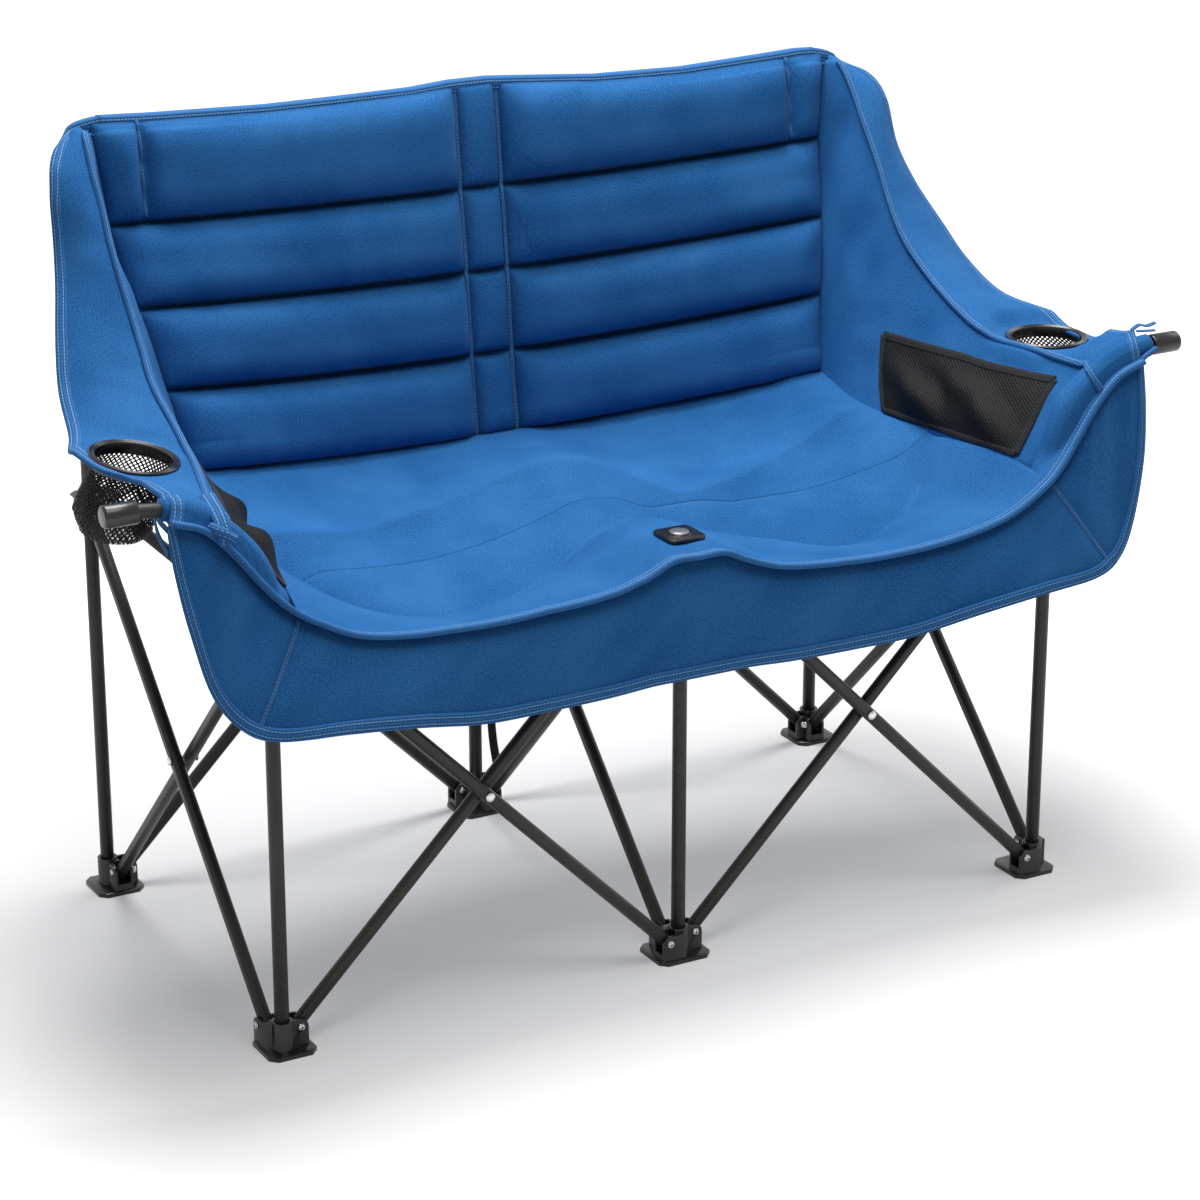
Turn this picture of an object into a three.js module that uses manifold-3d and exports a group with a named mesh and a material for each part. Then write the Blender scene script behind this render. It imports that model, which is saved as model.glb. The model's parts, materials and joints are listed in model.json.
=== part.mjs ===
// Folding two-seat camping chair on a frame of seven scissor pairs.
// Millimetres, +Z up, the sitter faces -Y. The chair stands open.
// Six legs stand in two rows of three. Neighbouring legs are joined by a pair of crossed tubes,
// and all seven pairs span the same width and rise, so the whole frame closes as one linkage.
// Each leg telescopes: a lower post stands in a foot, and the hub's own post slides inside it.
import * as THREE from 'three';
import { mergeVertices } from 'three/addons/utils/BufferGeometryUtils.js';
import Module from 'manifold-3d';

const wasm = await Module();
wasm.setup();

// Driving dimensions of the frame
const bay = 520; // between neighbouring legs of a row
const frontPivotOffset = 22; // from a leg's axis to the pivots of the front and rear bays
const sidePivotOffset = 25; // from a leg's axis to the pivots of the side pairs
const footPivotHeight = 27;
const hubRise = 476; // from a foot's pivots to its hub's pivots
const foldedTubeAngle = 85; // degrees from the ground, frame closed
const guideEngagement = 45; // of a hub's post left inside the lower post, frame closed
const backPoleTop = 944;

// Steel tubes
const crossTube = { radius: 8, bore: 6.7, sides: 12, boreSides: 6, endLap: 7, sideGap: 0.4 };
const post = { radius: 8.5, wall: 1, sides: 12 };
const guide = { radius: 6.9, bore: 5.7, boreSides: 6 };

// Pivot screws and crossing rivets
const pin = { radius: 2.5, sides: 8, headRadius: 4.6, headHeight: 2.2 };
const rivet = { radius: 2.5, headRadius: 5.6, headHeight: 2.4, crownShare: 0.55, sides: 8 };

// Fits and running gaps
const pinGap = 0.6; // between a pivot screw and the hole in its tube
const postFit = 0.6; // between a post and the bore that holds it
const slotGap = 0.5; // between a tube's side and the cheeks of its pocket
const seatGap = 0.4; // between pieces that lie against each other
const overrun = 4; // of a cut past the face it leaves
const mergeShare = 2e-7; // of the bay, the distance under which two points are one

// Moulded feet and hubs
const moulding = {
  bossRadius: 12.5,
  bossSides: 12,
  cheekWall: 3.4,
  noseRadius: 9.4,
  noseSteps: 4,
  flangeHeight: 5,
  flangeMargin: 4,
  flangeChamfer: 9,
  pocketFloor: 13,
  footHeight: 39,
  hubDrop: 14,
  hubRoofGap: 0.8,
  hubRoof: 2.2,
};

// Arm bars
const armBar = { neck: 6, bendRadius: 146, straightEnd: 28, steps: 10 };
const armCap = { radius: 13, length: 40, sides: 14, chamfer: 2.2, bore: 30 };

// Sewn cover
const cloth = { thickness: 4, armSpread: 148, backRise: 459, skirtDepth: 76, skirtDrop: 128, belly: 7 };
const seat = {
  thickness: 7,
  dish: 26,
  crownBack: 50,
  backLine: 451,
  backHeight: 533,
  frontSideRise: 28,
  sideInset: 24,
};
const back = { thickness: 14, bulge: 10, height: 427, stripHalf: 28.5 };
const stripBulgeShare = 0.35;
const poleSleeve = { wall: 2.4, length: 84, sides: 12 };
const armSleeve = { wall: 3.5, firstStep: 5, lastStep: 8 };
const meshPocket = { gap: 1, thickness: 2, bulge: 12 };

// Cup holders, standing in the arm bands
const cup = { out: 77, behind: 140, height: 664, tilt: 8, ringRadius: 50.5, ringWall: 4.5, ringRise: 5 };
const cupRing = { drop: 9, sides: 24, lip: 1.4 };
const cupBag = { wall: 1.8, topRadius: 45.4, footRadius: 36, rise: 1, drop: 84, cornerShare: 0.2, sides: 20 };

// Switch on the seat's front
const plate = { width: 48, height: 4.5, floor: 1, corner: 7, cornerSteps: 3, offset: 8, behind: 18 };
const button = { radius: 12, rimRadius: 15, rimHeight: 1.6, travel: 2, crown: 1.4, sides: 20, crownShare: 0.6 };

// Values that follow from the driving dimensions
const pairSpan = bay - 2 * frontPivotOffset;
const depth = pairSpan + 2 * sidePivotOffset;
const hubPivotHeight = footPivotHeight + hubRise;
const tubeLength = Math.hypot(pairSpan, hubRise);
const tubeOffset = crossTube.radius + crossTube.sideGap;
const foldedRise = tubeLength * Math.sin(THREE.MathUtils.degToRad(foldedTubeAngle)) - hubRise;
const hubBottom = hubPivotHeight - moulding.hubDrop;
const hubTop = hubPivotHeight + Math.hypot(crossTube.radius, crossTube.endLap)
  + moulding.hubRoofGap + moulding.hubRoof;
const hubReach = frontPivotOffset + moulding.noseRadius;
const guideBottom = hubBottom - foldedRise - guideEngagement;
const armHeight = hubTop + armBar.neck + armBar.bendRadius;
const tubeEndReach = Math.hypot(crossTube.radius, crossTube.endLap);
const pocketHalf = crossTube.radius + slotGap;
const seatCrown = hubTop + seatGap + seat.thickness;

// Finishes
const finish = (color, roughness, metalness) =>
  new THREE.MeshStandardMaterial({ color, roughness, metalness });
const tubeFinish = () => finish(0x2b2726, 0.42, 0.5);
const mouldedFinish = () => finish(0x131313, 0.35, 0);
const rivetFinish = () => finish(0xc2c4c6, 0.3, 0.9);
const clothFinish = () => finish(0x1f5aa3, 0.85, 0);
const meshFinish = () => finish(0x161616, 0.9, 0);

// Six times the signed volume inside a triangle mesh, negative where its faces point inwards.
function signedVolume(positions, triangles) {
  const corner = (i) => new THREE.Vector3().fromArray(positions, 3 * triangles[i]);
  let sum = 0;
  for (let i = 0; i < triangles.length; i += 3) {
    sum += corner(i).dot(corner(i + 1).cross(corner(i + 2)));
  }
  return sum;
}

// Turns a closed three.js geometry into a solid, without its doubled points and empty triangles.
function solid(geometry) {
  const bare = geometry.clone();
  bare.deleteAttribute('normal');
  bare.deleteAttribute('uv');
  const merged = mergeVertices(bare, mergeShare * bay);
  const positions = merged.attributes.position.array;
  const index = merged.index.array;
  const triangles = [];
  for (let i = 0; i < index.length; i += 3) {
    const [a, b, c] = [index[i], index[i + 1], index[i + 2]];
    if (a !== b && b !== c && c !== a) triangles.push(a, b, c);
  }
  if (signedVolume(positions, triangles) < 0) triangles.reverse();
  return new wasm.Manifold(new wasm.Mesh({
    numProp: 3,
    vertProperties: new Float32Array(positions),
    triVerts: new Uint32Array(triangles),
  }));
}

function geometryOf(manifold) {
  const mesh = manifold.getMesh();
  const geometry = new THREE.BufferGeometry();
  geometry.setAttribute('position', new THREE.BufferAttribute(mesh.vertProperties, 3));
  geometry.setIndex(new THREE.BufferAttribute(mesh.triVerts, 1));
  const flat = geometry.toNonIndexed();
  flat.computeVertexNormals();
  return flat;
}

const joined = (parts) => parts.reduce((whole, part) => whole.add(part));

// A solid of revolution about Z. The profile holds [radius, height] points.
function turned(profile, sides) {
  const points = profile.map(([radius, height]) => new THREE.Vector2(radius, height));
  return new THREE.LatheGeometry(points, sides).rotateX(Math.PI / 2);
}

function rod(radius, low, high, sides) {
  return turned([[0, low], [radius, low], [radius, high], [0, high]], sides);
}

function pipe(radius, bore, low, high, sides, boreSides) {
  return solid(rod(radius, low, high, sides))
    .subtract(solid(rod(bore, low - overrun, high + overrun, boreSides)));
}

function block(x0, x1, y0, y1, z0, z1) {
  const box = new THREE.BoxGeometry(x1 - x0, y1 - y0, z1 - z0);
  return box.translate((x0 + x1) / 2, (y0 + y1) / 2, (z0 + z1) / 2);
}

// Turns a pocket's own frame, outward along +X with its tube plane at y = lateral,
// into the frame of the leg that carries it.
function facing(geometry, direction) {
  const angles = { right: 0, back: Math.PI / 2, left: Math.PI, front: -Math.PI / 2 };
  return geometry.rotateZ(angles[direction]);
}

// The side view of a pocket: a rounded nose round its screw, on a foot or hung under a hub's roof.
function pocketOutline(reach, isFoot) {
  const nose = moulding.noseRadius;
  const outline = new THREE.Shape();
  const turnAt = (i) => (Math.PI / 2) * (i / moulding.noseSteps);
  if (isFoot) {
    const floor = moulding.flangeHeight / 2 - footPivotHeight;
    outline.moveTo(0, floor);
    outline.lineTo(reach + nose, floor);
    for (let i = 0; i <= moulding.noseSteps; i += 1) {
      outline.lineTo(reach + nose * Math.cos(turnAt(i)), nose * Math.sin(turnAt(i)));
    }
    outline.lineTo(0, nose);
  } else {
    const roof = hubTop - hubPivotHeight - moulding.hubRoof / 2;
    outline.moveTo(0, -moulding.hubDrop);
    for (let i = moulding.noseSteps; i >= 0; i -= 1) {
      outline.lineTo(reach + nose * Math.cos(turnAt(i)), -nose * Math.sin(turnAt(i)));
    }
    outline.lineTo(reach + nose, roof);
    outline.lineTo(0, roof);
  }
  return outline;
}

// One pocket of a foot or hub: a body with a rounded nose, the slot that its tube swings in
// and a screw across both cheeks. Its pivot is at height 0.
function pocket({ direction, lateral }, isFoot) {
  const alongX = direction === 'right' || direction === 'left';
  const reach = alongX ? frontPivotOffset : sidePivotOffset;
  const middle = direction === 'left' || direction === 'back' ? -lateral : lateral;
  const low = middle - pocketHalf;
  const high = middle + pocketHalf;
  const wall = moulding.cheekWall;
  const body = new THREE.ExtrudeGeometry(pocketOutline(reach, isFoot), {
    depth: high - low + 2 * wall, bevelEnabled: false,
  });
  body.rotateX(Math.PI / 2).translate(0, high + wall, 0);
  const slotLow = isFoot ? moulding.pocketFloor - footPivotHeight : -moulding.hubDrop - overrun;
  const slotHigh = isFoot ? moulding.footHeight : hubTop - hubPivotHeight - moulding.hubRoof;
  const slotStart = reach - tubeEndReach - slotGap;
  const slot = block(slotStart, reach + moulding.noseRadius + overrun, low, high, slotLow, slotHigh);
  const headOut = pin.headHeight + wall;
  const screw = turned([
    [0, low - headOut], [pin.headRadius, low - headOut], [pin.headRadius, low - wall / 2],
    [pin.radius, low - wall / 2], [pin.radius, high + wall / 2], [pin.headRadius, high + wall / 2],
    [pin.headRadius, high + headOut], [0, high + headOut],
  ], pin.sides).rotateX(-Math.PI / 2).translate(reach, 0, 0);
  const placed = (part) => solid(facing(part, direction));
  return { body: placed(body), slot: placed(slot), screw: placed(screw) };
}

// The plate outline of a foot's flange or a hub's roof, square to its pockets with cut corners.
function plateOutline(pockets, margin) {
  const has = (name) => pockets.some((one) => one.direction === name);
  const near = tubeOffset + pocketHalf + moulding.cheekWall + margin;
  const wide = hubReach + margin;
  const deep = sidePivotOffset + moulding.noseRadius + margin;
  const x0 = -(has('left') ? wide : near);
  const x1 = has('right') ? wide : near;
  const y0 = -(has('front') ? deep : near);
  const y1 = has('back') ? deep : near;
  const cut = moulding.flangeChamfer;
  const outline = new THREE.Shape();
  outline.moveTo(x0 + cut, y0);
  outline.lineTo(x1 - cut, y0);
  outline.lineTo(x1, y0 + cut);
  outline.lineTo(x1, y1 - cut);
  outline.lineTo(x1 - cut, y1);
  outline.lineTo(x0 + cut, y1);
  outline.lineTo(x0, y1 - cut);
  outline.lineTo(x0, y0 + cut);
  outline.closePath();
  return outline;
}

// The boss round the post stands clear of the swinging tube ends, so it is joined after the slots are cut.
function moulded(plate, boss, made) {
  const shell = joined([plate, ...made.map((one) => one.body)]);
  const slotted = made.reduce((rest, one) => rest.subtract(one.slot), shell);
  return joined([slotted, boss, ...made.map((one) => one.screw)]);
}

// A moulded foot, its pivots at z = 0 and the leg's axis at the origin.
function footGeometry(pockets) {
  const made = pockets.map((one) => pocket(one, true));
  const flange = new THREE.ExtrudeGeometry(plateOutline(pockets, moulding.flangeMargin), {
    depth: moulding.flangeHeight, bevelEnabled: false,
  }).translate(0, 0, -footPivotHeight);
  const top = moulding.footHeight - footPivotHeight;
  const boss = rod(moulding.bossRadius, -footPivotHeight, top, moulding.bossSides);
  const bore = rod(post.radius + postFit, moulding.flangeHeight - footPivotHeight, top + overrun, post.sides);
  return geometryOf(moulded(solid(flange), solid(boss), made).subtract(solid(bore)));
}

// A moulded hub, its pivots at z = 0 and the leg's axis at the origin.
function hubGeometry(pockets, carriesGuide) {
  const made = pockets.map((one) => pocket(one, false));
  const top = hubTop - hubPivotHeight;
  const roof = new THREE.ExtrudeGeometry(plateOutline(pockets, 0), {
    depth: moulding.hubRoof, bevelEnabled: false,
  }).translate(0, 0, top - moulding.hubRoof);
  const boss = rod(moulding.bossRadius, -moulding.hubDrop, top, moulding.bossSides);
  const hub = moulded(solid(roof), solid(boss), made);
  if (carriesGuide) {
    const stub = rod(guide.radius, guideBottom - hubPivotHeight, 0, post.sides);
    const hollow = rod(guide.bore, guideBottom - hubPivotHeight - overrun, 0, guide.boreSides);
    return geometryOf(hub.add(solid(stub)).subtract(solid(hollow)));
  }
  const bore = rod(post.radius + postFit, -moulding.hubDrop - overrun, top + overrun, post.sides);
  return geometryOf(hub.subtract(solid(bore)));
}

// A cross tube along +Y from its foot pivot at the origin, with three holes along Z.
function crossTubeGeometry() {
  const low = -crossTube.endLap;
  const high = tubeLength + crossTube.endLap;
  const wall = pipe(crossTube.radius, crossTube.bore, low, high, crossTube.sides, crossTube.boreSides)
    .rotate([-90, 0, 0]);
  const drilled = [0, tubeLength / 2, tubeLength].reduce((rest, along) => {
    const hole = rod(pin.radius + pinGap, -crossTube.radius - overrun, crossTube.radius + overrun, pin.sides);
    return rest.subtract(solid(hole.translate(0, along, 0)));
  }, wall);
  return geometryOf(drilled);
}

// A rivet along Z with two crowned heads, its middle between the two tubes.
function rivetGeometry() {
  const face = 2 * crossTube.radius + crossTube.sideGap + seatGap;
  const top = face + rivet.headHeight;
  const crown = rivet.headRadius * rivet.crownShare;
  return turned([
    [0, -top], [crown, -top], [rivet.headRadius, -face - rivet.headHeight / 2],
    [rivet.headRadius, -face], [rivet.radius, -face], [rivet.radius, face],
    [rivet.headRadius, face], [rivet.headRadius, face + rivet.headHeight / 2],
    [crown, top], [0, top],
  ], rivet.sides);
}

function lowerPostGeometry() {
  const low = moulding.flangeHeight + seatGap;
  const high = hubBottom - seatGap;
  return geometryOf(pipe(post.radius, post.radius - post.wall, low, high, post.sides, post.sides));
}

// The post that hangs in the lower post below its hub and goes on above it.
function steppedPost(top) {
  const body = joined([
    solid(rod(guide.radius, guideBottom, hubBottom + overrun, post.sides)),
    solid(rod(post.radius, hubBottom, top, post.sides)),
  ]);
  return body.subtract(solid(rod(guide.bore, guideBottom - overrun, top + overrun, guide.boreSides)));
}

// An arm bar's line between two places on it, up the leg's axis, round the quarter bend and
// outward along +X. Places are measured from the start of the bend.
class ArmPath extends THREE.Curve {
  constructor(start, end) {
    super();
    this.start = start;
    this.end = end;
  }

  getPoint(share, target = new THREE.Vector3()) {
    const arc = (armBar.bendRadius * Math.PI) / 2;
    const along = THREE.MathUtils.lerp(this.start, this.end, share);
    if (along < 0) return target.set(0, 0, armHeight - armBar.bendRadius + along);
    if (along > arc) return target.set(armBar.bendRadius + along - arc, 0, armHeight);
    const turn = along / armBar.bendRadius;
    return target.set(armBar.bendRadius * (1 - Math.cos(turn)), 0,
      armHeight - armBar.bendRadius * (1 - Math.sin(turn)));
  }
}

function circle(radius, sides, ShapeClass = THREE.Shape) {
  const shape = new ShapeClass();
  for (let i = 0; i < sides; i += 1) {
    const turn = (2 * Math.PI * i) / sides;
    const point = [radius * Math.cos(turn), radius * Math.sin(turn)];
    if (i === 0) shape.moveTo(...point);
    else shape.lineTo(...point);
  }
  shape.closePath();
  return shape;
}

function extrudedAlong(section, start, end, steps) {
  const extrudePath = new ArmPath(start, end);
  return solid(new THREE.ExtrudeGeometry(section, { steps, bevelEnabled: false, extrudePath }));
}

const armStart = hubBottom - (armHeight - armBar.bendRadius);
const armEnd = (armBar.bendRadius * Math.PI) / 2 + armBar.straightEnd;
const armStep = (armEnd - armStart) / armBar.steps;

function armBarGeometry() {
  const bar = extrudedAlong(circle(post.radius, post.sides), armStart, armEnd, armBar.steps);
  const inner = rod(guide.radius, guideBottom, hubBottom + overrun, post.sides);
  const boreStart = armStart - (hubBottom - guideBottom) - overrun;
  const boreEnd = armEnd + overrun;
  const boreSteps = Math.ceil((boreEnd - boreStart) / armStep);
  const bore = extrudedAlong(circle(guide.bore, guide.boreSides), boreStart, boreEnd, boreSteps);
  return geometryOf(bar.add(solid(inner)).subtract(bore));
}

// The plastic cap on the free end of an arm bar, along +Z with its closed end on top.
function armCapGeometry() {
  const { radius, length, chamfer, bore } = armCap;
  const inside = post.radius + postFit / 2;
  return turned([
    [0, bore], [inside, bore], [inside, 0], [radius - chamfer / 2, 0], [radius, chamfer],
    [radius, length - chamfer], [radius - chamfer, length], [0, length],
  ], armCap.sides);
}

// A closed slab between a grid of front points and the matching grid of back points.
function slab(front, rear) {
  const rows = front.length;
  const columns = front[0].length;
  const at = (side, row, column) => (side * rows + row) * columns + column;
  const index = [];
  const quad = (a, b, c, d) => index.push(a, b, c, a, c, d);
  for (let row = 0; row < rows - 1; row += 1) {
    for (let column = 0; column < columns - 1; column += 1) {
      const [below, beside] = [row + 1, column + 1];
      quad(at(0, row, column), at(0, row, beside), at(0, below, beside), at(0, below, column));
      quad(at(1, row, column), at(1, below, column), at(1, below, beside), at(1, row, beside));
    }
  }
  const lastColumn = columns - 1;
  for (let row = 0; row < rows - 1; row += 1) {
    const [below, end] = [row + 1, lastColumn];
    quad(at(0, row, 0), at(0, below, 0), at(1, below, 0), at(1, row, 0));
    quad(at(0, row, end), at(1, row, end), at(1, below, end), at(0, below, end));
  }
  const lastRow = rows - 1;
  for (let column = 0; column < columns - 1; column += 1) {
    const [beside, end] = [column + 1, lastRow];
    quad(at(0, 0, column), at(1, 0, column), at(1, 0, beside), at(0, 0, beside));
    quad(at(0, end, column), at(0, end, beside), at(1, end, beside), at(1, end, column));
  }
  const geometry = new THREE.BufferGeometry().setFromPoints([...front.flat(), ...rear.flat()]);
  geometry.setIndex(index);
  return solid(geometry);
}

function shifted(grid, x, y, z) {
  const step = new THREE.Vector3(x, y, z);
  return grid.map((row) => row.map((point) => point.clone().add(step)));
}

// A grid's unit normals, from the points beside each point.
function gridNormals(grid) {
  const clamp = (value, length) => Math.max(0, Math.min(length - 1, value));
  return grid.map((row, r) => row.map((_, c) => {
    const across = row[clamp(c + 1, row.length)].clone().sub(row[clamp(c - 1, row.length)]);
    const down = grid[clamp(r + 1, grid.length)][c].clone().sub(grid[clamp(r - 1, grid.length)][c]);
    return across.cross(down).normalize();
  }));
}

function alongNormals(grid, distance) {
  const normals = gridNormals(grid);
  return grid.map((row, r) => row.map((point, c) => {
    const far = typeof distance === 'function' ? distance(r, c) : distance;
    return point.clone().addScaledVector(normals[r][c], far);
  }));
}

// The lines of the cover's sides, each point as [out past the arm post, back, up] in shares of
// the arm's spread, the chair's depth and the back's rise above the hubs, from the top of the back
// down and forward to the arm.
const outerHemShares = [
  [0.05, 0.988, 0.95], [0.28, 0.914, 0.926], [0.36, 0.873, 0.854], [0.4, 0.831, 0.745],
  [0.47, 0.776, 0.641], [0.59, 0.7, 0.534], [0.68, 0.627, 0.447], [0.77, 0.513, 0.377],
  [0.89, 0.361, 0.359], [0.91, 0.2, 0.359], [0.9, 0.086, 0.359], [0.88, 0.021, 0.359],
];
const pipingShares = [
  [0.04, 0.909, 0.974], [0.03, 0.865, 0.898], [0.03, 0.817, 0.817], [0.03, 0.751, 0.708],
  [0.02, 0.684, 0.599], [0.03, 0.618, 0.519], [0.06, 0.542, 0.453], [0.07, 0.428, 0.39],
  [0.11, 0.314, 0.344], [0.22, 0.19, 0.329], [0.34, 0.08, 0.322], [0.43, 0.021, 0.316],
];
const sideFootShares = [
  [-0.09, 0.947, 0.985], [-0.14, 0.935, 0.843], [-0.2, 0.905, 0.68], [-0.31, 0.837, 0.516],
  [-0.42, 0.789, 0.331], [-0.54, 0.732, 0.146], [-0.49, 0.599, 0.115], [-0.41, 0.428, 0.109],
  [-0.33, 0.266, 0.105], [-0.26, 0.114, 0.098], [-0.16, 0.03, 0.102], [0.17, 0.021, 0.194],
];

// The seat's front rim and the hem of the skirt below it, from beside the middle hub to the arm,
// as [out, forward, up] in shares of the bay, the skirt's depth and its drop below the hubs.
const rimShares = [
  [0.131, 0.45, 0.04], [0.231, 0.43, -0.11], [0.385, 0.43, -0.2], [0.538, 0.43, -0.22],
  [0.692, 0.46, -0.17], [0.827, 0.47, -0.05], [0.93, 0.45, 0.17], [0.99, 0.36, 0.35],
  [1.038, 0.29, 0.57], [1.092, 0.25, 0.85], [1.154, 0.24, 1.09], [1.225, 0.24, 1.2],
];
const skirtHemShares = [
  [0.131, 0.66, -0.98], [0.24, 0.68, -1], [0.394, 0.72, -1], [0.548, 0.78, -0.98],
  [0.721, 0.89, -0.87], [0.894, 0.99, -0.77], [1.048, 0.97, -0.71], [1.121, 0.87, -0.57],
  [1.173, 0.71, -0.26], [1.208, 0.58, 0.29], [1.225, 0.41, 0.76], [1.231, 0.26, 1.14],
];

const sideLine = (shares) => shares.map(([out, behind, rise]) => new THREE.Vector3(
  bay + out * cloth.armSpread, behind * depth, hubPivotHeight + rise * cloth.backRise));
const frontLine = (shares) => shares.map(([out, forward, rise]) => new THREE.Vector3(
  out * bay, -forward * cloth.skirtDepth, hubPivotHeight + rise * cloth.skirtDrop));

const outerHem = sideLine(outerHemShares);
const piping = sideLine(pipingShares);
const sideFoot = sideLine(sideFootShares);

// The rim lies flat over the middle hub.
const crownHalf = hubReach + overrun;
const crownFront = -rimShares[0][1] * cloth.skirtDepth;
const rim = [
  new THREE.Vector3(0, crownFront, seatCrown),
  new THREE.Vector3(crownHalf, crownFront, seatCrown),
  ...frontLine(rimShares),
];
const hemStart = frontLine(skirtHemShares)[0];
const skirtHem = [
  new THREE.Vector3(0, hemStart.y, hemStart.z),
  new THREE.Vector3(crownHalf, hemStart.y, hemStart.z),
  ...frontLine(skirtHemShares),
];

const onSide = (points, side) => points.map((point) => new THREE.Vector3(side * point.x, point.y, point.z));

// Both halves of a line that starts in the middle plane.
const bothSides = (points) => [...onSide(points, -1).reverse().slice(0, -1), ...points];

// A side wing: the padded arm band between the outer hem and the piping, and the side panel
// below the piping, with the sleeves on the rear pole and on the arm bar.
const bandRows = 2;
const panelRows = 4;

function wingGrid(side) {
  const [hem, pipe, foot] = [outerHem, piping, sideFoot].map((line) => onSide(line, side));
  const between = (from, to, rows) => Array.from({ length: rows },
    (_, row) => from.map((point, i) => point.clone().lerp(to[i], row / rows)));
  return [...between(hem, pipe, bandRows), ...between(pipe, foot, panelRows), foot];
}

function cupPlaced(geometry, side) {
  const tilt = THREE.MathUtils.degToRad(cup.tilt);
  return geometry.rotateY(-side * tilt).translate(side * (bay + cup.out), cup.behind, cup.height);
}

function poleSleeveParts(x) {
  const top = backPoleTop + seatGap;
  const outer = rod(post.radius + postFit + poleSleeve.wall, top - poleSleeve.length, top + poleSleeve.wall,
    poleSleeve.sides).translate(x, depth, 0);
  const inner = rod(post.radius + postFit, top - poleSleeve.length - overrun, top, poleSleeve.sides)
    .translate(x, depth, 0);
  return { outer: solid(outer), inner: solid(inner) };
}

function wingGeometry(side) {
  const grid = wingGrid(side);
  const sheet = slab(grid, alongNormals(grid, side * cloth.thickness));
  const hole = rod(cup.ringRadius + seatGap, -cup.height, cup.height, cupRing.sides);
  const onPole = poleSleeveParts(side * bay);
  const bore = post.radius + postFit;
  const section = circle(bore + armSleeve.wall, post.sides);
  section.holes.push(circle(bore, post.sides, THREE.Path));
  const { firstStep, lastStep } = armSleeve;
  const sleeve = extrudedAlong(section, armStart + firstStep * armStep, armStart + lastStep * armStep,
    lastStep - firstStep);
  const turnedSleeve = side > 0 ? sleeve : sleeve.rotate([0, 0, 180]);
  const onArm = turnedSleeve.translate([side * bay, 0, 0]);
  const panel = sheet.subtract(solid(cupPlaced(hole, side)));
  return geometryOf(panel.add(onPole.outer).subtract(onPole.inner).add(onArm));
}

// An elastic mesh pocket sewn on the side panel, deeper at its front.
const pocketStations = { first: 6, last: 10 };
const pocketTopShares = [0.5, 0.42, 0.33, 0.25, 0.16];
const pocketFootShare = 0.92;
const pocketRows = 4;

function meshPocketGeometry(side) {
  const pipe = onSide(piping, side).slice(pocketStations.first, pocketStations.last + 1);
  const foot = onSide(sideFoot, side).slice(pocketStations.first, pocketStations.last + 1);
  const grid = Array.from({ length: pocketRows + 1 }, (_, row) => pipe.map((point, i) => {
    const down = THREE.MathUtils.lerp(pocketTopShares[i], pocketFootShare, row / pocketRows);
    return point.clone().lerp(foot[i], down);
  }));
  const last = pipe.length - 1;
  const arched = (step, steps) => Math.sin((Math.PI * step) / steps);
  const bulge = (r, c) => meshPocket.bulge * arched(r, pocketRows) * arched(c, last);
  const near = alongNormals(grid, -side * meshPocket.gap);
  const far = alongNormals(grid, (r, c) => -side * (meshPocket.gap + meshPocket.thickness + bulge(r, c)));
  return geometryOf(slab(near, far));
}

// The skirt below the seat's rim, which runs out in front of the arm bars.
const skirtRows = 4;

function skirtGeometry() {
  const top = bothSides(rim);
  const hem = bothSides(skirtHem);
  const front = Array.from({ length: skirtRows + 1 }, (_, row) => top.map((point, i) => {
    const share = row / skirtRows;
    const dropShare = Math.min(1, point.distanceTo(hem[i]) / cloth.skirtDrop);
    const belly = cloth.belly * Math.sin(Math.PI * share) * dropShare;
    return point.clone().lerp(hem[i], share).add(new THREE.Vector3(0, -belly, 0));
  }));
  return geometryOf(slab(front, shifted(front, 0, cloth.thickness, 0)));
}

// The seat runs between the wings' feet, from behind the skirt to the back's foot. Points are given
// by a share across, from the middle plane to the side, and a share along, from the front.
const seatFront = crownFront + cloth.thickness + seatGap;
const seatSide = [
  new THREE.Vector3(bay - seat.sideInset, seatFront, hubPivotHeight + seat.frontSideRise),
  ...sideFoot.slice(5, 10).reverse().map((point) => point.clone().setX(point.x - seatGap)),
];

// Reads a line at a place along one of its axes, in which it never turns back.
function lineAt(line, axis, value) {
  const upward = line[line.length - 1][axis] > line[0][axis];
  let i = 1;
  while (i < line.length - 1 && (upward ? line[i][axis] < value : line[i][axis] > value)) i += 1;
  const share = (value - line[i - 1][axis]) / (line[i][axis] - line[i - 1][axis]);
  return line[i - 1].clone().lerp(line[i], THREE.MathUtils.clamp(share, 0, 1));
}

const seatAcross = [...rim.slice(0, 8).map((point) => point.x / seatSide[0].x), 1];
const seatAlongShares = [0, 0.16, 0.28, 0.4, 0.5, 0.6, 0.72, 0.86, 1];
const seatSplitRow = 4;
const backAcrossShares = [0.25, 0.5, 0.73, 0.87, 1];

// The line where seat and back meet, drawn forward at the sides, straight between the back's columns.
const seatEnd = seatSide[seatSide.length - 1];
const backColumns = [back.stripHalf / seatEnd.x, ...backAcrossShares];
const footCurve = (across) => new THREE.Vector3(across * seatEnd.x,
  THREE.MathUtils.lerp(seat.backLine, seatEnd.y, across ** 2),
  THREE.MathUtils.lerp(seat.backHeight, seatEnd.z, across ** 2));
const footLine = [footCurve(0), ...backColumns.map(footCurve)];
const backFoot = (across) => lineAt(footLine, 'x', across * seatEnd.x);

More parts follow.
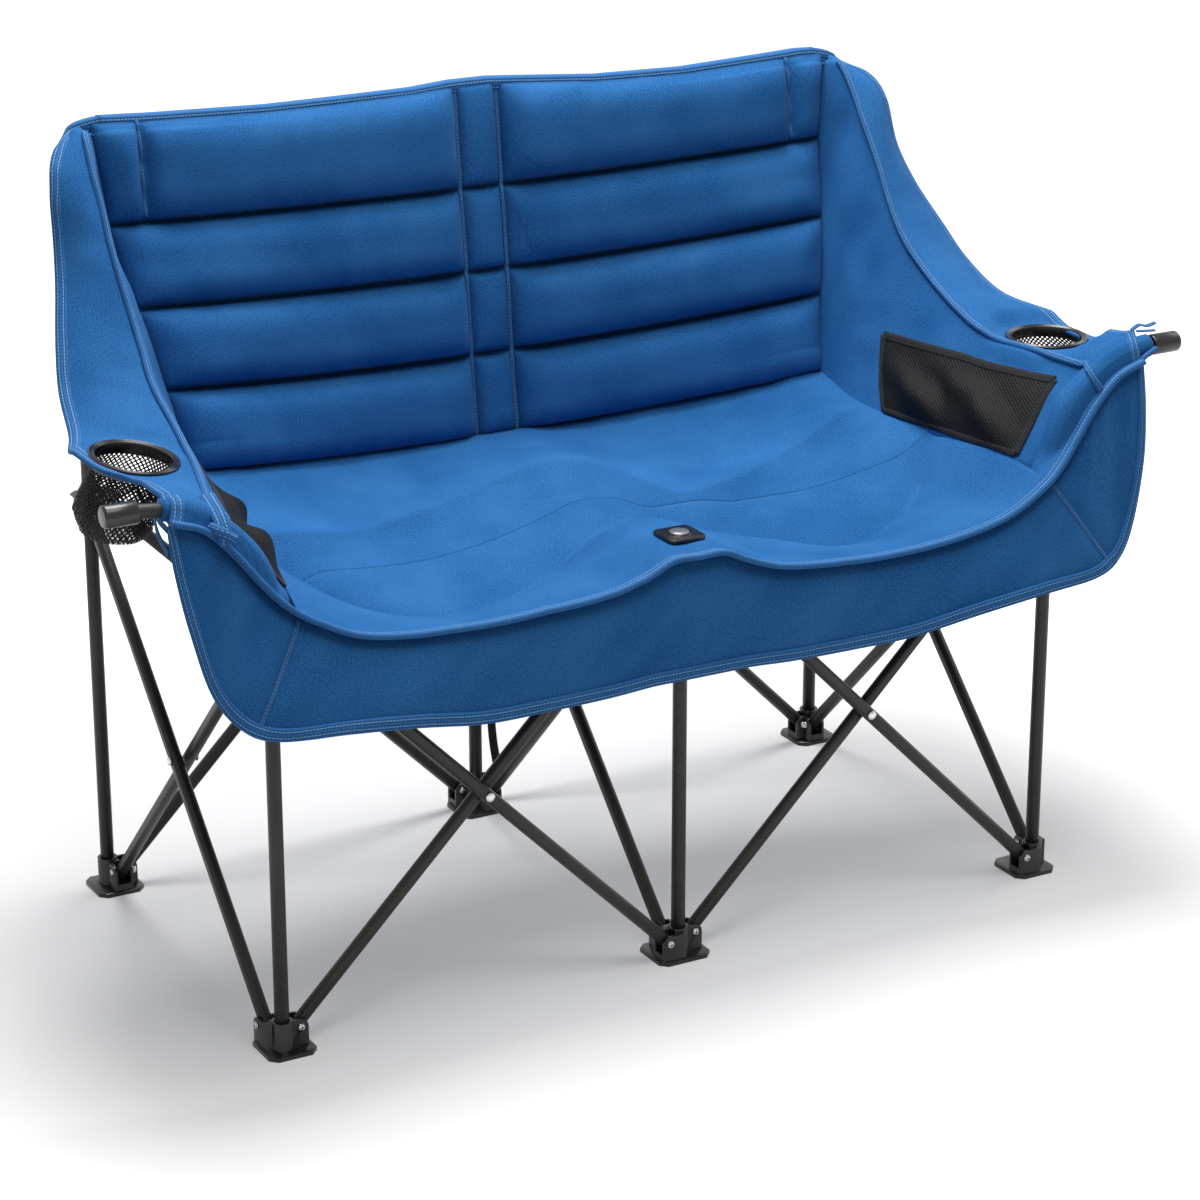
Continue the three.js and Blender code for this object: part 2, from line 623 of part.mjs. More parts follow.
function seatPoint(across, along) {
  const foot = backFoot(across);
  const front = lineAt(rim, 'x', across * seatSide[0].x);
  const y = THREE.MathUtils.lerp(front.y + cloth.thickness + seatGap, foot.y - seatGap, along);
  const side = lineAt(seatSide, 'y', y);
  const edgeRise = across ** 4 * (side.z - THREE.MathUtils.lerp(seatSide[0].z, seatEnd.z, along));
  const flat = y < seat.crownBack && across * seatSide[0].x <= crownHalf ? 0 : 1;
  const sag = seat.dish * flat * Math.sin(Math.PI * along) * Math.sin(Math.PI * across ** 1.2);
  const straight = THREE.MathUtils.lerp(front.z, foot.z, along * flat);
  return new THREE.Vector3(across * side.x, y, straight - sag + edgeRise);
}

function seatGeometry(firstRow, lastRow, frontInset) {
  const across = [...seatAcross.slice(1).reverse().map((share) => -share), ...seatAcross];
  const rows = seatAlongShares.slice(firstRow, lastRow + 1);
  const top = rows.map((along, r) => across.map((share) => {
    const point = seatPoint(Math.abs(share), along);
    return new THREE.Vector3(Math.sign(share) * point.x, point.y + (r === 0 ? frontInset : 0), point.z);
  }));
  return geometryOf(slab(top, shifted(top, 0, 0, -seat.thickness)));
}

// The back: four quilted rows between the seat and the top hem, with a narrow strip down the middle.
const channels = 4;
const channelRows = 4;
const wingSide = sideFoot.slice(0, 6).reverse();

function backPoint(across, along) {
  const foot = backFoot(across);
  const topMiddle = depth - post.radius - seatGap - back.thickness;
  const z = foot.z + along * (seat.backHeight + back.height - foot.z);
  const side = lineAt(wingSide, 'z', z);
  const middle = THREE.MathUtils.lerp(seat.backLine, topMiddle, along);
  const straight = along === 0 ? foot.y : THREE.MathUtils.lerp(middle, side.y, across ** 2);
  return new THREE.Vector3(across * (side.x - seatGap), straight, z);
}

function backGeometry() {
  const strip = backColumns[0];
  const across = [...backColumns.map((share) => -share).reverse(), ...backColumns];
  const rows = Array.from({ length: channels * channelRows + 1 }, (_, row) => row / (channels * channelRows));
  const seams = rows.map((along) => across.map((share) => {
    const point = backPoint(Math.abs(share), along);
    return new THREE.Vector3(Math.sign(share) * point.x, point.y, point.z);
  }));
  const front = seams.map((row, r) => row.map((point, c) => {
    const channel = Math.sin((Math.PI * (r % channelRows)) / channelRows);
    const share = Math.abs(across[c]);
    const quilt = share === strip || share === 1 ? channel * stripBulgeShare : channel;
    return point.clone().add(new THREE.Vector3(0, -back.bulge * quilt, 0));
  }));
  const sleeve = poleSleeveParts(0);
  const panel = slab(front, shifted(seams, 0, back.thickness, 0));
  return geometryOf(panel.add(sleeve.outer).subtract(sleeve.inner));
}

// The stiff ring of a cup holder, with a rounded lip, and the tapered bag inside it.
function cupRingGeometry(side) {
  const outer = cup.ringRadius;
  const inner = outer - cup.ringWall;
  const top = cup.ringRise;
  const lip = cupRing.lip;
  const profile = [
    [inner, -cupRing.drop], [outer, -cupRing.drop], [outer, top - lip], [outer - lip, top],
    [inner + lip, top], [inner, top - lip], [inner, -cupRing.drop],
  ];
  return cupPlaced(turned(profile, cupRing.sides), side);
}

function cupBagGeometry(side) {
  const { topRadius, footRadius, wall, rise, drop, cornerShare } = cupBag;
  const corner = footRadius * cornerShare;
  const profile = [
    [0, -drop], [footRadius - corner, -drop], [footRadius, corner - drop], [topRadius, rise],
    [topRadius - wall, rise], [footRadius - wall, corner + wall - drop],
    [footRadius - corner, wall - drop], [0, wall - drop],
  ];
  return cupPlaced(turned(profile, cupBag.sides), side);
}

// The square switch plate on the seat's front, with its round button.
function plateGeometry() {
  const half = plate.width / 2;
  const inset = half - plate.corner;
  const outline = new THREE.Shape();
  for (let i = 0; i < 4; i += 1) {
    for (let step = 0; step <= plate.cornerSteps; step += 1) {
      const turn = (Math.PI / 2) * (i + step / plate.cornerSteps);
      const quarter = (Math.PI / 2) * (i + 0.5);
      const middle = new THREE.Vector2(Math.cos(quarter), Math.sin(quarter)).multiplyScalar(inset * Math.SQRT2);
      const x = middle.x + plate.corner * Math.cos(turn);
      const y = middle.y + plate.corner * Math.sin(turn);
      if (i === 0 && step === 0) outline.moveTo(x, y);
      else outline.lineTo(x, y);
    }
  }
  outline.closePath();
  outline.holes.push(circle(button.radius + seatGap, button.sides, THREE.Path));
  const base = solid(new THREE.ExtrudeGeometry(outline, { depth: plate.height, bevelEnabled: false }));
  const collar = pipe(button.rimRadius, button.radius + seatGap, plate.height / 2, plate.height + button.rimHeight,
    button.sides, button.sides);
  const floor = rod(button.rimRadius, 0, plate.floor, button.sides);
  return geometryOf(joined([base, collar, solid(floor)]));
}

function buttonGeometry() {
  const low = plate.floor + button.travel + seatGap;
  const top = plate.height + button.rimHeight + button.travel;
  const { radius, crown, crownShare } = button;
  return turned([
    [0, low], [radius, low], [radius, top - crown], [radius * crownShare, top - crown / 3], [0, top],
  ], button.sides);
}

const assembly = new THREE.Group();
const chair = new THREE.Group();
assembly.add(chair);

function add(name, geometry, material, x = 0, y = 0, z = 0) {
  const mesh = new THREE.Mesh(geometry, material);
  mesh.name = name;
  mesh.position.set(x, y, z);
  chair.add(mesh);
  return mesh;
}

const legs = [
  { name: 'front_left', x: -bay, y: 0 },
  { name: 'front_centre', x: 0, y: 0 },
  { name: 'front_right', x: bay, y: 0 },
  { name: 'rear_left', x: -bay, y: depth },
  { name: 'rear_centre', x: 0, y: depth },
  { name: 'rear_right', x: bay, y: depth },
];

// The seven scissor pairs. Each tube runs from the foot of one leg to the hub of another, on its
// own side of the plane through both legs.
const pairs = [
  { name: 'front_left', tubes: [['front_centre', 'front_left', -1], ['front_left', 'front_centre', 1]] },
  { name: 'front_right', tubes: [['front_right', 'front_centre', -1], ['front_centre', 'front_right', 1]] },
  { name: 'rear_left', tubes: [['rear_left', 'rear_centre', -1], ['rear_centre', 'rear_left', 1]] },
  { name: 'rear_right', tubes: [['rear_right', 'rear_centre', -1], ['rear_centre', 'rear_right', 1]] },
  { name: 'left_side', tubes: [['front_left', 'rear_left', -1], ['rear_left', 'front_left', 1]] },
  { name: 'centre', tubes: [['front_centre', 'rear_centre', -1], ['rear_centre', 'front_centre', 1]] },
  { name: 'right_side', tubes: [['front_right', 'rear_right', 1], ['rear_right', 'front_right', -1]] },
];

const legNamed = (name) => legs.find((leg) => leg.name === name);

function directionFrom(from, to) {
  if (from.y === to.y) return to.x > from.x ? 'right' : 'left';
  return to.y > from.y ? 'back' : 'front';
}

const outward = {
  right: new THREE.Vector3(1, 0, 0),
  left: new THREE.Vector3(-1, 0, 0),
  back: new THREE.Vector3(0, 1, 0),
  front: new THREE.Vector3(0, -1, 0),
};

// Each pair's tubes are pinned through the plane they swing in.
for (const leg of legs) {
  leg.foot = [];
  leg.hub = [];
}
for (const pair of pairs) {
  for (const [footName, hubName, side] of pair.tubes) {
    const from = legNamed(footName);
    const to = legNamed(hubName);
    from.foot.push({ direction: directionFrom(from, to), lateral: side * tubeOffset });
    to.hub.push({ direction: directionFrom(to, from), lateral: side * tubeOffset });
  }
}

function placePairs() {
  for (const pair of pairs) {
    for (const [footName, hubName, side] of pair.tubes) {
      const from = legNamed(footName);
      const way = directionFrom(from, legNamed(hubName));
      const alongX = from.y === legNamed(hubName).y;
      const out = outward[way];
      const pinAxis = alongX ? outward.back : outward.right;
      const along = out.clone().multiplyScalar(pairSpan).setZ(hubRise).normalize();
      const reach = alongX ? frontPivotOffset : sidePivotOffset;
      const tube = add(`cross_tube_${footName}_to_${hubName}`, crossTubeGeometry(), tubeFinish());
      tube.position.set(from.x, from.y, footPivotHeight)
        .addScaledVector(out, reach).addScaledVector(pinAxis, side * tubeOffset);
      const across = along.clone().cross(pinAxis);
      tube.quaternion.setFromRotationMatrix(new THREE.Matrix4().makeBasis(across, along, pinAxis));
    }
    const [from, to] = pair.tubes[0].map(legNamed);
    const screw = add(`rivet_${pair.name}`, rivetGeometry(), rivetFinish(),
      (from.x + to.x) / 2, (from.y + to.y) / 2, footPivotHeight + hubRise / 2);
    if (from.y === to.y) screw.rotation.x = Math.PI / 2;
    else screw.rotation.y = Math.PI / 2;
  }
}

function placeLegs() {
  for (const leg of legs) {
    const armed = leg.y === 0 && leg.x !== 0;
    const bare = leg.y === 0 && leg.x === 0;
    add(`foot_${leg.name}`, footGeometry(leg.foot), mouldedFinish(), leg.x, leg.y, footPivotHeight);
    add(`lower_post_${leg.name}`, lowerPostGeometry(), tubeFinish(), leg.x, leg.y);
    add(`hub_${leg.name}`, hubGeometry(leg.hub, bare), mouldedFinish(), leg.x, leg.y, hubPivotHeight);
    if (!armed && !bare) {
      add(`back_pole_${leg.name}`, geometryOf(steppedPost(backPoleTop)), tubeFinish(), leg.x, leg.y);
    }
  }
}

function placeArms() {
  for (const [name, side] of [['left', -1], ['right', 1]]) {
    const bar = add(`arm_bar_${name}`, armBarGeometry(), tubeFinish(), side * bay);
    bar.rotation.z = side > 0 ? 0 : Math.PI;
    const cap = add(`arm_cap_${name}`, armCapGeometry(), mouldedFinish(),
      side * (bay + armBar.bendRadius), 0, armHeight);
    cap.rotation.y = (side * Math.PI) / 2;
    add(`cup_ring_${name}`, cupRingGeometry(side), mouldedFinish());
    add(`cup_bag_${name}`, cupBagGeometry(side), meshFinish());
    add(`side_wing_${name}`, wingGeometry(side), clothFinish());
    add(`mesh_pocket_${name}`, meshPocketGeometry(side), meshFinish());
  }
}

function placeSeat() {
  add('seat_front_half', seatGeometry(0, seatSplitRow, 0), clothFinish());
  add('seat_rear_half', seatGeometry(seatSplitRow, seatAlongShares.length - 1, seatGap), clothFinish());
  add('back_panel', backGeometry(), clothFinish());
  add('front_skirt', skirtGeometry(), clothFinish());
  const plateHeight = seatCrown + seatGap;
  add('switch_plate', plateGeometry(), mouldedFinish(), plate.offset, plate.behind, plateHeight);
  add('switch_button', buttonGeometry(), mouldedFinish(), plate.offset, plate.behind, plateHeight);
}

placeLegs();
placePairs();
placeArms();
placeSeat();

// The origin is on the floor, in the middle of the chair's outline.
const middle = new THREE.Box3().setFromObject(chair).getCenter(new THREE.Vector3());
chair.position.set(-middle.x, -middle.y, 0);

export default assembly;
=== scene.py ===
import json
import math

import bmesh
import bpy
import numpy as np
from mathutils import Matrix, Vector, noise


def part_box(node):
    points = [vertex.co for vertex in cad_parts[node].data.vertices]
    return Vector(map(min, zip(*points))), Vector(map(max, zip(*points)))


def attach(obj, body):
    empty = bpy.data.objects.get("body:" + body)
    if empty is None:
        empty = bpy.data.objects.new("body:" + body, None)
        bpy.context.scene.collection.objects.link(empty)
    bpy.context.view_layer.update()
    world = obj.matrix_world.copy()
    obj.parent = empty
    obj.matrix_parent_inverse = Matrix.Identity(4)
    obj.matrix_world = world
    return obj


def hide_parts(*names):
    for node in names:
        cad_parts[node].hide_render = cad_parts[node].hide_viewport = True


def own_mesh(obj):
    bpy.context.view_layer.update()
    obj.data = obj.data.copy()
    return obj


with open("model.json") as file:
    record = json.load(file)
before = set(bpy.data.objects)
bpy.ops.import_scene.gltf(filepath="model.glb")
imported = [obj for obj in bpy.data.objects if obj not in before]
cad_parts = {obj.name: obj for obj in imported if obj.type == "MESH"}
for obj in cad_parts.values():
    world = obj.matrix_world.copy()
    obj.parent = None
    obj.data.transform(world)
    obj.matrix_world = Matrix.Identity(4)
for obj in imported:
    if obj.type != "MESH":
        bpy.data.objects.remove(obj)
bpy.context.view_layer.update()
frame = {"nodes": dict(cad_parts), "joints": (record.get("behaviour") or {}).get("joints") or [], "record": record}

# %% [markdown]
# The chair stands on six legs in two rows of three. Every place in this lesson is counted from the
# middle of the front row, so the first step reads that place and the main sizes off the CAD frame.

# %% Main sizes of the frame
def middle_of(node):
    low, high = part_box(node)
    return (Vector(low) + Vector(high)) / 2


front_y = middle_of("lower_post_front_centre").y
bay = middle_of("lower_post_front_right").x
depth = middle_of("lower_post_rear_centre").y - front_y
pivots = {joint["name"]: Vector(joint["pos_m"]) for joint in frame["joints"] if "pos_m" in joint}
hub_pivot_height = pivots["hub_pivot_front_left"].z
post_low, post_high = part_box("lower_post_front_centre")
post_radius = (post_high[0] - post_low[0]) / 2
seam_gap, merge_distance = 0.0004, 0.00002
floor_drop = 0.0002
both_sides = ((-1, "left"), (1, "right"))
upwards, backwards = np.array([0, 0, 1.0]), np.array([0, 1.0, 0])
upright = Vector((0, 0, 1))
print("bay", round(bay, 3), "depth", round(depth, 3), "hubs at", hub_pivot_height)


def new_object(name, data):
    thing = bpy.data.objects.new(name, data)
    bpy.context.scene.collection.objects.link(thing)
    return thing


def placed(points):
    """Points counted from the middle of the front row, as an array in the frame's own place."""
    return np.array(points, float) + np.array([0, front_y, 0])


# %% [markdown]
# The photograph looks down on the chair's left front corner from a little over four metres, through
# a long lens. The camera is set by its place, its heading and its tilt.

# %% Camera
camera_place = (-1.979, -3.334, 1.841)
camera_heading, camera_tilt, camera_lens = 29.31, 19.70, 106.5

camera = new_object("photo_camera", bpy.data.cameras.new("photo_camera"))
camera.data.lens, camera.data.sensor_width, camera.data.clip_end = camera_lens, 36, 50
camera.location = placed([camera_place])[0]
camera.rotation_euler = (math.radians(90 - camera_tilt), 0, -math.radians(camera_heading))
bpy.context.scene.camera = camera
print("camera at", [round(v, 3) for v in camera.location])

# %% [markdown]
# Materials, floor and world are made of shader nodes. One helper adds a node with its settings and
# links it to what feeds it, so that each material below reads as a short list of steps.

# %% Helper for shader nodes
class Shader:
    """The nodes of a material or a world. Most methods add a node and return its output."""

    def __init__(self, owner):
        owner.use_nodes = True
        self.owner, self.tree = owner, owner.node_tree

    def fill(self, node, inputs):
        """Sets inputs to plain values, and links them where the value is another node's output."""
        for name, value in inputs.items():
            if isinstance(value, bpy.types.NodeSocket):
                self.tree.links.new(value, node.inputs[name])
            else:
                node.inputs[name].default_value = value

    def node(self, kind, inputs={}, **settings):
        node = self.tree.nodes.new("ShaderNode" + kind)
        for name, value in settings.items():
            setattr(node, name, value)
        self.fill(node, inputs)
        return node

    def surface(self, inputs):
        self.fill(self.tree.nodes["Principled BSDF"], inputs)
        return self.owner

    def math(self, operation, first, second=0):
        return self.node("Math", {0: first, 1: second}, operation=operation).outputs[0]

    def total(self, *parts):
        """The sum of some (output, weight) pairs."""
        whole = None
        for value, weight in parts:
            part = self.math("MULTIPLY", value, weight)
            whole = part if whole is None else self.math("ADD", whole, part)
        return whole

    def mix(self, factor, first, second):
        return self.node("Mix", {"Factor": factor, "A": first, "B": second}, data_type="RGBA").outputs["Result"]

    def noise(self, vector, scale, detail=2.0, roughness=0.5):
        inputs = {"Vector": vector, "Scale": scale, "Detail": detail, "Roughness": roughness}
        return self.node("TexNoise", inputs).outputs["Fac"]

    def waves(self, vector, size):
        """Two crossed waves of one size, in metres."""
        inputs = {"Vector": vector, "Scale": math.pi / 10 / size, "Distortion": 0.4, "Detail": 1.0}
        return [self.node("TexWave", inputs, wave_type="BANDS", bands_direction=way).outputs["Fac"] for way in "XY"]

    def ramp(self, factor, *stops):
        node = self.node("ValToRGB", {"Fac": factor})
        for element, (position, color) in zip(node.color_ramp.elements, stops):
            element.position, element.color = position, (*color, 1)
        return node.outputs["Color"]

    def bump(self, height, strength, distance):
        return self.node("Bump", {"Height": height, "Strength": strength, "Distance": distance}).outputs["Normal"]

    def on_uv(self, name):
        return self.node("UVMap", uv_map=name).outputs["UV"]

    def on_object(self):
        return self.node("TexCoord").outputs["Object"]

    def seen_directly(self):
        """A factor that is 1 for camera, glossy and transmission rays."""
        rays = self.node("LightPath").outputs
        by_eye_or_gloss = self.math("MAXIMUM", rays["Is Camera Ray"], rays["Is Glossy Ray"])
        return self.math("MAXIMUM", by_eye_or_gloss, rays["Is Transmission Ray"])


# %% [markdown]
# A product shot has a seamless pale floor and large soft lamps. The floor and the world show white
# to the camera and in reflections, while the light that falls on the chair stays at a plain level.

# %% Floor, world and lamps
ambient_light = 0.19
floor_grey = 0.74
floor_size = 40
floor_near, floor_far = 0.65, 1.6
lift_near, lift_far = 0.26, 0.95
lamp_target = Vector((0, 0, 0.45))
lamps = {"top_lamp": ((0.1, 0.62, 3.3), 1.4, 92), "front_lamp": ((-0.2, -1.1, 3.6), 1.8, 50),
         "side_lamp": ((3.0, 0.2, 2.2), 1.8, 23)}


def make_world():
    world = Shader(bpy.data.worlds.new("studio"))
    world.tree.nodes.clear()
    light, white = (world.node("Background", {"Strength": strength}).outputs[0] for strength in (ambient_light, 1))
    mixed = world.node("MixShader", {0: world.seen_directly(), 1: light, 2: white})
    world.node("OutputWorld", {0: mixed.outputs[0]})
    bpy.context.scene.world = world.owner


def add_lamp(name, place, size, energy):
    lamp = new_object(name, bpy.data.lights.new(name, "AREA"))
    lamp.data.size, lamp.data.energy = size, energy
    lamp.location = place
    lamp.rotation_euler = (lamp_target - Vector(place)).to_track_quat("-Z", "Y").to_euler()


def floor_material():
    """Pale and matt. Where the floor is seen, light is added: a little by the chair, and more further off."""
    pale = Shader(bpy.data.materials.new("pale floor"))
    distance = pale.node("VectorMath", {0: pale.on_object()}, operation="LENGTH").outputs["Value"]
    reach = {"Value": distance, "From Min": floor_near, "From Max": floor_far, "To Min": lift_near, "To Max": lift_far}
    lift = pale.node("MapRange", reach, interpolation_type="SMOOTHSTEP").outputs["Result"]
    return pale.surface({"Base Color": (floor_grey, floor_grey, floor_grey, 1), "Roughness": 0.9,
                         "Specular IOR Level": 0.1, "Emission Color": (1, 1, 1, 1),
                         "Emission Strength": pale.math("MULTIPLY", pale.seen_directly(), lift)})


make_world()
bpy.ops.mesh.primitive_plane_add(size=floor_size, location=(0, 0, -floor_drop))
floor = bpy.context.object
floor.name = "studio_floor"
floor.data.materials.append(floor_material())
for name, settings in lamps.items():
    add_lamp(name, *settings)
bpy.context.scene.view_settings.view_transform = "Standard"
print("floor, world and", len(lamps), "lamps")

# %% [markdown]
# The cover is a woven polyester: a plain weave of flat yarns, matt from the front with a soft sheen
# at grazing angles. The weave is a pair of crossed waves on each piece's own UV map, which is laid out
# in metres, so the yarns have one size on every panel and follow the cut of the cloth.

# %% Woven polyester
cloth_dark, cloth_light, thread_blue = (0.005, 0.080, 0.262), (0.034, 0.170, 0.430), (0.12, 0.34, 0.68)
cloth_sheen = {"Sheen Roughness": 0.4, "Sheen Tint": (0.4, 0.65, 1, 1)}
cloth_grain = (900, 2.0, 0.7)


def new_material(name, roughness, metallic=0.0):
    shader = Shader(bpy.data.materials.new(name))
    shader.surface({"Roughness": roughness, "Metallic": metallic})
    return shader


def shaded(color, share):
    return (*(part * share for part in color), 1)


def woven(name, dark, light, yarn=0.0011):
    cloth = new_material(name, 0.82)
    uv = cloth.on_uv("cloth")
    weave = cloth.math("MULTIPLY", *cloth.waves(uv, yarn))
    grain, flecks, cloudy = cloth.noise(uv, *cloth_grain), cloth.noise(uv, 560, 1.0, 0.6), cloth.noise(uv, 9, 3.0)
    tone = cloth.total((grain, 0.45), (flecks, 0.35), (cloudy, 0.2))
    # Painted shade: near a seam the colour is drawn towards near black, standing in for the shade that falls into the
    # seam's valley.
    seam_shade = cloth.node("Attribute", attribute_name="seam_depth").outputs["Fac"]
    color = cloth.mix(cloth.math("MULTIPLY", seam_shade, 0.85), cloth.ramp(tone, (0.43, dark), (0.57, light)),
                      shaded(dark, 0.12))
    relief = cloth.bump(cloth.total((weave, 1), (grain, 0.6)), 0.35, 0.0004)
    return cloth.surface({"Base Color": color, "Sheen Weight": 0.1, "Specular IOR Level": 0.12, "Normal": relief,
                          **cloth_sheen})


blue_cloth = woven("blue woven polyester", cloth_dark, cloth_light)
print("made", blue_cloth.name)

# %% [markdown]
# Every edge of the cover is a folded hem, sewn down with two rows of stitches. The hem is its own strip,
# so its UV map runs along the seam: the stitches are short light dashes at two places across the strip.

# %% Sewn hem
def sewn_hem(name, dark, light, thread, stitch=0.0045, rows=(0.28, 0.72)):
    """Cloth with stitch rows, and painted shade beside each row for the groove the stitches pull in. The UV map gives
    metres along and, across, a share of the strip.
    """
    hem = new_material(name, 0.8)
    parts = hem.node("SeparateXYZ", {0: hem.on_uv("seam")}).outputs
    from_rows = [hem.math("ABSOLUTE", hem.math("SUBTRACT", parts["Y"], place)) for place in rows]
    lines, beside = (hem.math("MAXIMUM", *(hem.math("LESS_THAN", away, reach) for away in from_rows))
                     for reach in (0.05, 0.12))
    step = hem.math("FRACT", hem.math("DIVIDE", parts["X"], stitch))
    dashes = hem.math("MULTIPLY", lines, hem.math("LESS_THAN", step, 0.8))
    place = hem.on_object()
    base = hem.ramp(hem.noise(place, *cloth_grain), (0.35, dark), (0.65, light))
    # Painted shade: the cloth beside each stitch row is darkened, standing in for the shade in the groove there.
    color = hem.mix(hem.math("MULTIPLY", beside, 0.6), base, shaded(dark, 0.25))
    height = hem.total((lines, -1.2), (dashes, 1.6), (hem.noise(place, 60), 1))
    return hem.surface({"Base Color": hem.mix(dashes, color, (*thread, 1)), "Sheen Weight": 0.12,
                        "Specular IOR Level": 0.3, "Normal": hem.bump(height, 0.7, 0.0009), **cloth_sheen})


hem_cloth = sewn_hem("blue sewn hem", cloth_dark, cloth_light, thread_blue)
black_binding = sewn_hem("black binding tape", (0.006, 0.006, 0.007), (0.016, 0.016, 0.018), (0.03, 0.03, 0.032))
print("made", hem_cloth.name, "and", black_binding.name)

# %% [markdown]
# The pockets and cup bags are a knitted mesh with small open diamonds. A wave along each diagonal leaves
# a net of black threads, and the holes between them are let through by the shader's alpha.

# %% Knitted mesh
def knitted_mesh(name, dark, light, hole, openness, turned=45):
    net = new_material(name, 0.6)
    turn = {"Vector": net.on_uv("cloth"), "Rotation": (0, 0, math.radians(turned))}
    threads = net.math("MAXIMUM", *net.waves(net.node("Mapping", turn).outputs["Vector"], hole))
    color = net.ramp(threads, (openness, light), (min(openness + 0.4, 0.98), dark))
    return net.surface({"Alpha": net.math("GREATER_THAN", threads, openness), "Base Color": color,
                        "Specular IOR Level": 0.2, "Normal": net.bump(threads, 0.8, 0.0008)})


pocket_mesh = knitted_mesh("pocket mesh", (0.003, 0.003, 0.0035), (0.045, 0.045, 0.047), 0.0036, 0.3, 38)
bag_mesh = knitted_mesh("cup bag net", (0.006, 0.006, 0.006), (0.02, 0.02, 0.02), 0.004, 0.67)
print("made", pocket_mesh.name, "and", bag_mesh.name)

# %% [markdown]
# The tubes are steel with a satin powder coat: dark, faintly brown, with a fine orange peel. The feet
# and hubs are glossy black nylon, and the screws are zinc plated.

# %% Coated tube, black nylon, plated steel and the button
def rigid(name, dark, light, clouds, fine, relief, roughness, wear=0.0, metallic=0.0, specular=0.5):
    """A hard surface, cloudy between two colours over a fine relief. Both are a noise's scale and detail."""
    hard = new_material(name, roughness, metallic)
    place = hard.on_object()
    cloudy = hard.noise(place, *clouds)
    if wear:
        hard.surface({"Roughness": hard.math("ADD", hard.math("MULTIPLY", cloudy, wear), roughness)})
    return hard.surface({"Base Color": hard.ramp(cloudy, (0.3, dark), (0.7, light)), "Specular IOR Level": specular,
                         "Normal": hard.bump(hard.noise(place, *fine), relief, 0.0002)})


button_metal = rigid("satin grey button", (0.20, 0.20, 0.21), (0.34, 0.34, 0.35), (900, 2.0), (900, 2.0), 0.1, 0.32,
                     metallic=0.7)
tube_coat = rigid("charcoal powder coat", (0.020, 0.018, 0.017), (0.032, 0.029, 0.027), (30, 3.0), (1400, 1.0), 0.12,
                  0.38, metallic=0.1, specular=0.35)
nylon = rigid("black nylon", (0.007, 0.007, 0.008), (0.014, 0.014, 0.015), (45, 3.0), (700, 2.0), 0.08, 0.18, wear=0.2)
steel = rigid("zinc plated steel", (0.55, 0.56, 0.57), (0.72, 0.73, 0.74), (400, 3.0), (400, 3.0), 0.08, 0.28,
              metallic=1.0)
print("made", tube_coat.name, nylon.name, steel.name)

# %% [markdown]
# The cover is one sewn shell that hangs from the hubs, the arm bars and the rear poles. Its shape
# follows from a few lines: the outer hem from the top of the back down to the arm, the piping inside
# it, the foot of the side panel, the seat's front rim and the skirt's hem. Each line is a table of
# points in shares of the cover's sizes, and a smooth curve is drawn through them.

# %% Lines of the cover
arm_spread, back_rise, skirt_depth, skirt_drop = 0.148, 0.459, 0.076, 0.128

outer_hem_shares = [
    (-0.06, 0.982, 0.982), (0.06, 0.972, 0.957), (0.26, 0.911, 0.93), (0.35, 0.868, 0.868), (0.39, 0.831, 0.745),
    (0.47, 0.776, 0.641), (0.59, 0.7, 0.534), (0.68, 0.627, 0.447), (0.77, 0.513, 0.377),
    (0.89, 0.361, 0.359), (0.91, 0.2, 0.359), (0.89, 0.086, 0.375), (0.85, 0.021, 0.395),
]
piping_shares = [
    (-0.03, 0.955, 0.972), (0.0, 0.915, 0.955), (0.03, 0.865, 0.89), (0.03, 0.817, 0.817), (0.03, 0.751, 0.708),
    (0.02, 0.684, 0.599), (0.03, 0.618, 0.519), (0.06, 0.542, 0.453), (0.07, 0.428, 0.39),
    (0.11, 0.314, 0.344), (0.22, 0.19, 0.329), (0.34, 0.08, 0.322), (0.43, 0.021, 0.316),
]
side_foot_shares = [
    (-0.085, 0.952, 0.966), (-0.09, 0.947, 0.946), (-0.14, 0.935, 0.843), (-0.2, 0.905, 0.68), (-0.31, 0.837, 0.516),
    (-0.42, 0.789, 0.331), (-0.54, 0.732, 0.146), (-0.49, 0.599, 0.1), (-0.41, 0.428, 0.091),
    (-0.33, 0.266, 0.092), (-0.26, 0.114, 0.094), (-0.17, 0.03, 0.088), (-0.14, 0.008, 0.075),
]
rim_shares = [
    (0, 0.45, 0.156), (0.065, 0.45, 0.156), (0.131, 0.45, 0.04), (0.231, 0.43, -0.11),
    (0.385, 0.43, -0.2), (0.538, 0.43, -0.22), (0.692, 0.46, -0.17), (0.827, 0.47, -0.05),
    (0.93, 0.45, 0.17), (0.99, 0.36, 0.35), (1.038, 0.29, 0.57), (1.092, 0.25, 0.85),
    (1.154, 0.24, 1.09), (1.225, 0.24, 1.2),
]
skirt_hem_shares = [
    (0, 0.66, -0.98), (0.065, 0.66, -0.98), (0.131, 0.66, -0.98), (0.24, 0.68, -1),
    (0.394, 0.72, -1), (0.548, 0.78, -0.98), (0.721, 0.89, -0.87), (0.894, 0.99, -0.77),
    (1.048, 0.97, -0.71), (1.121, 0.87, -0.57), (1.173, 0.71, -0.26), (1.208, 0.58, 0.29),
    (1.225, 0.41, 0.76), (1.231, 0.26, 1.14),
]


def curve_through(points, places):
    """A smooth line through the points, read at places counted in points from the first."""
    points = np.asarray(points, float)
    slopes = np.gradient(points, axis=0)
    places = np.clip(np.asarray(places, float), 0, len(points) - 1)
    first = np.minimum(places.astype(int), len(points) - 2)
    t = (places - first)[:, None]
    a, b, m, n = points[first], points[first + 1], slopes[first], slopes[first + 1]
    return (2*t**3 - 3*t**2 + 1) * a + (t**3 - 2*t**2 + t) * m + (3*t**2 - 2*t**3) * b + (t**3 - t**2) * n


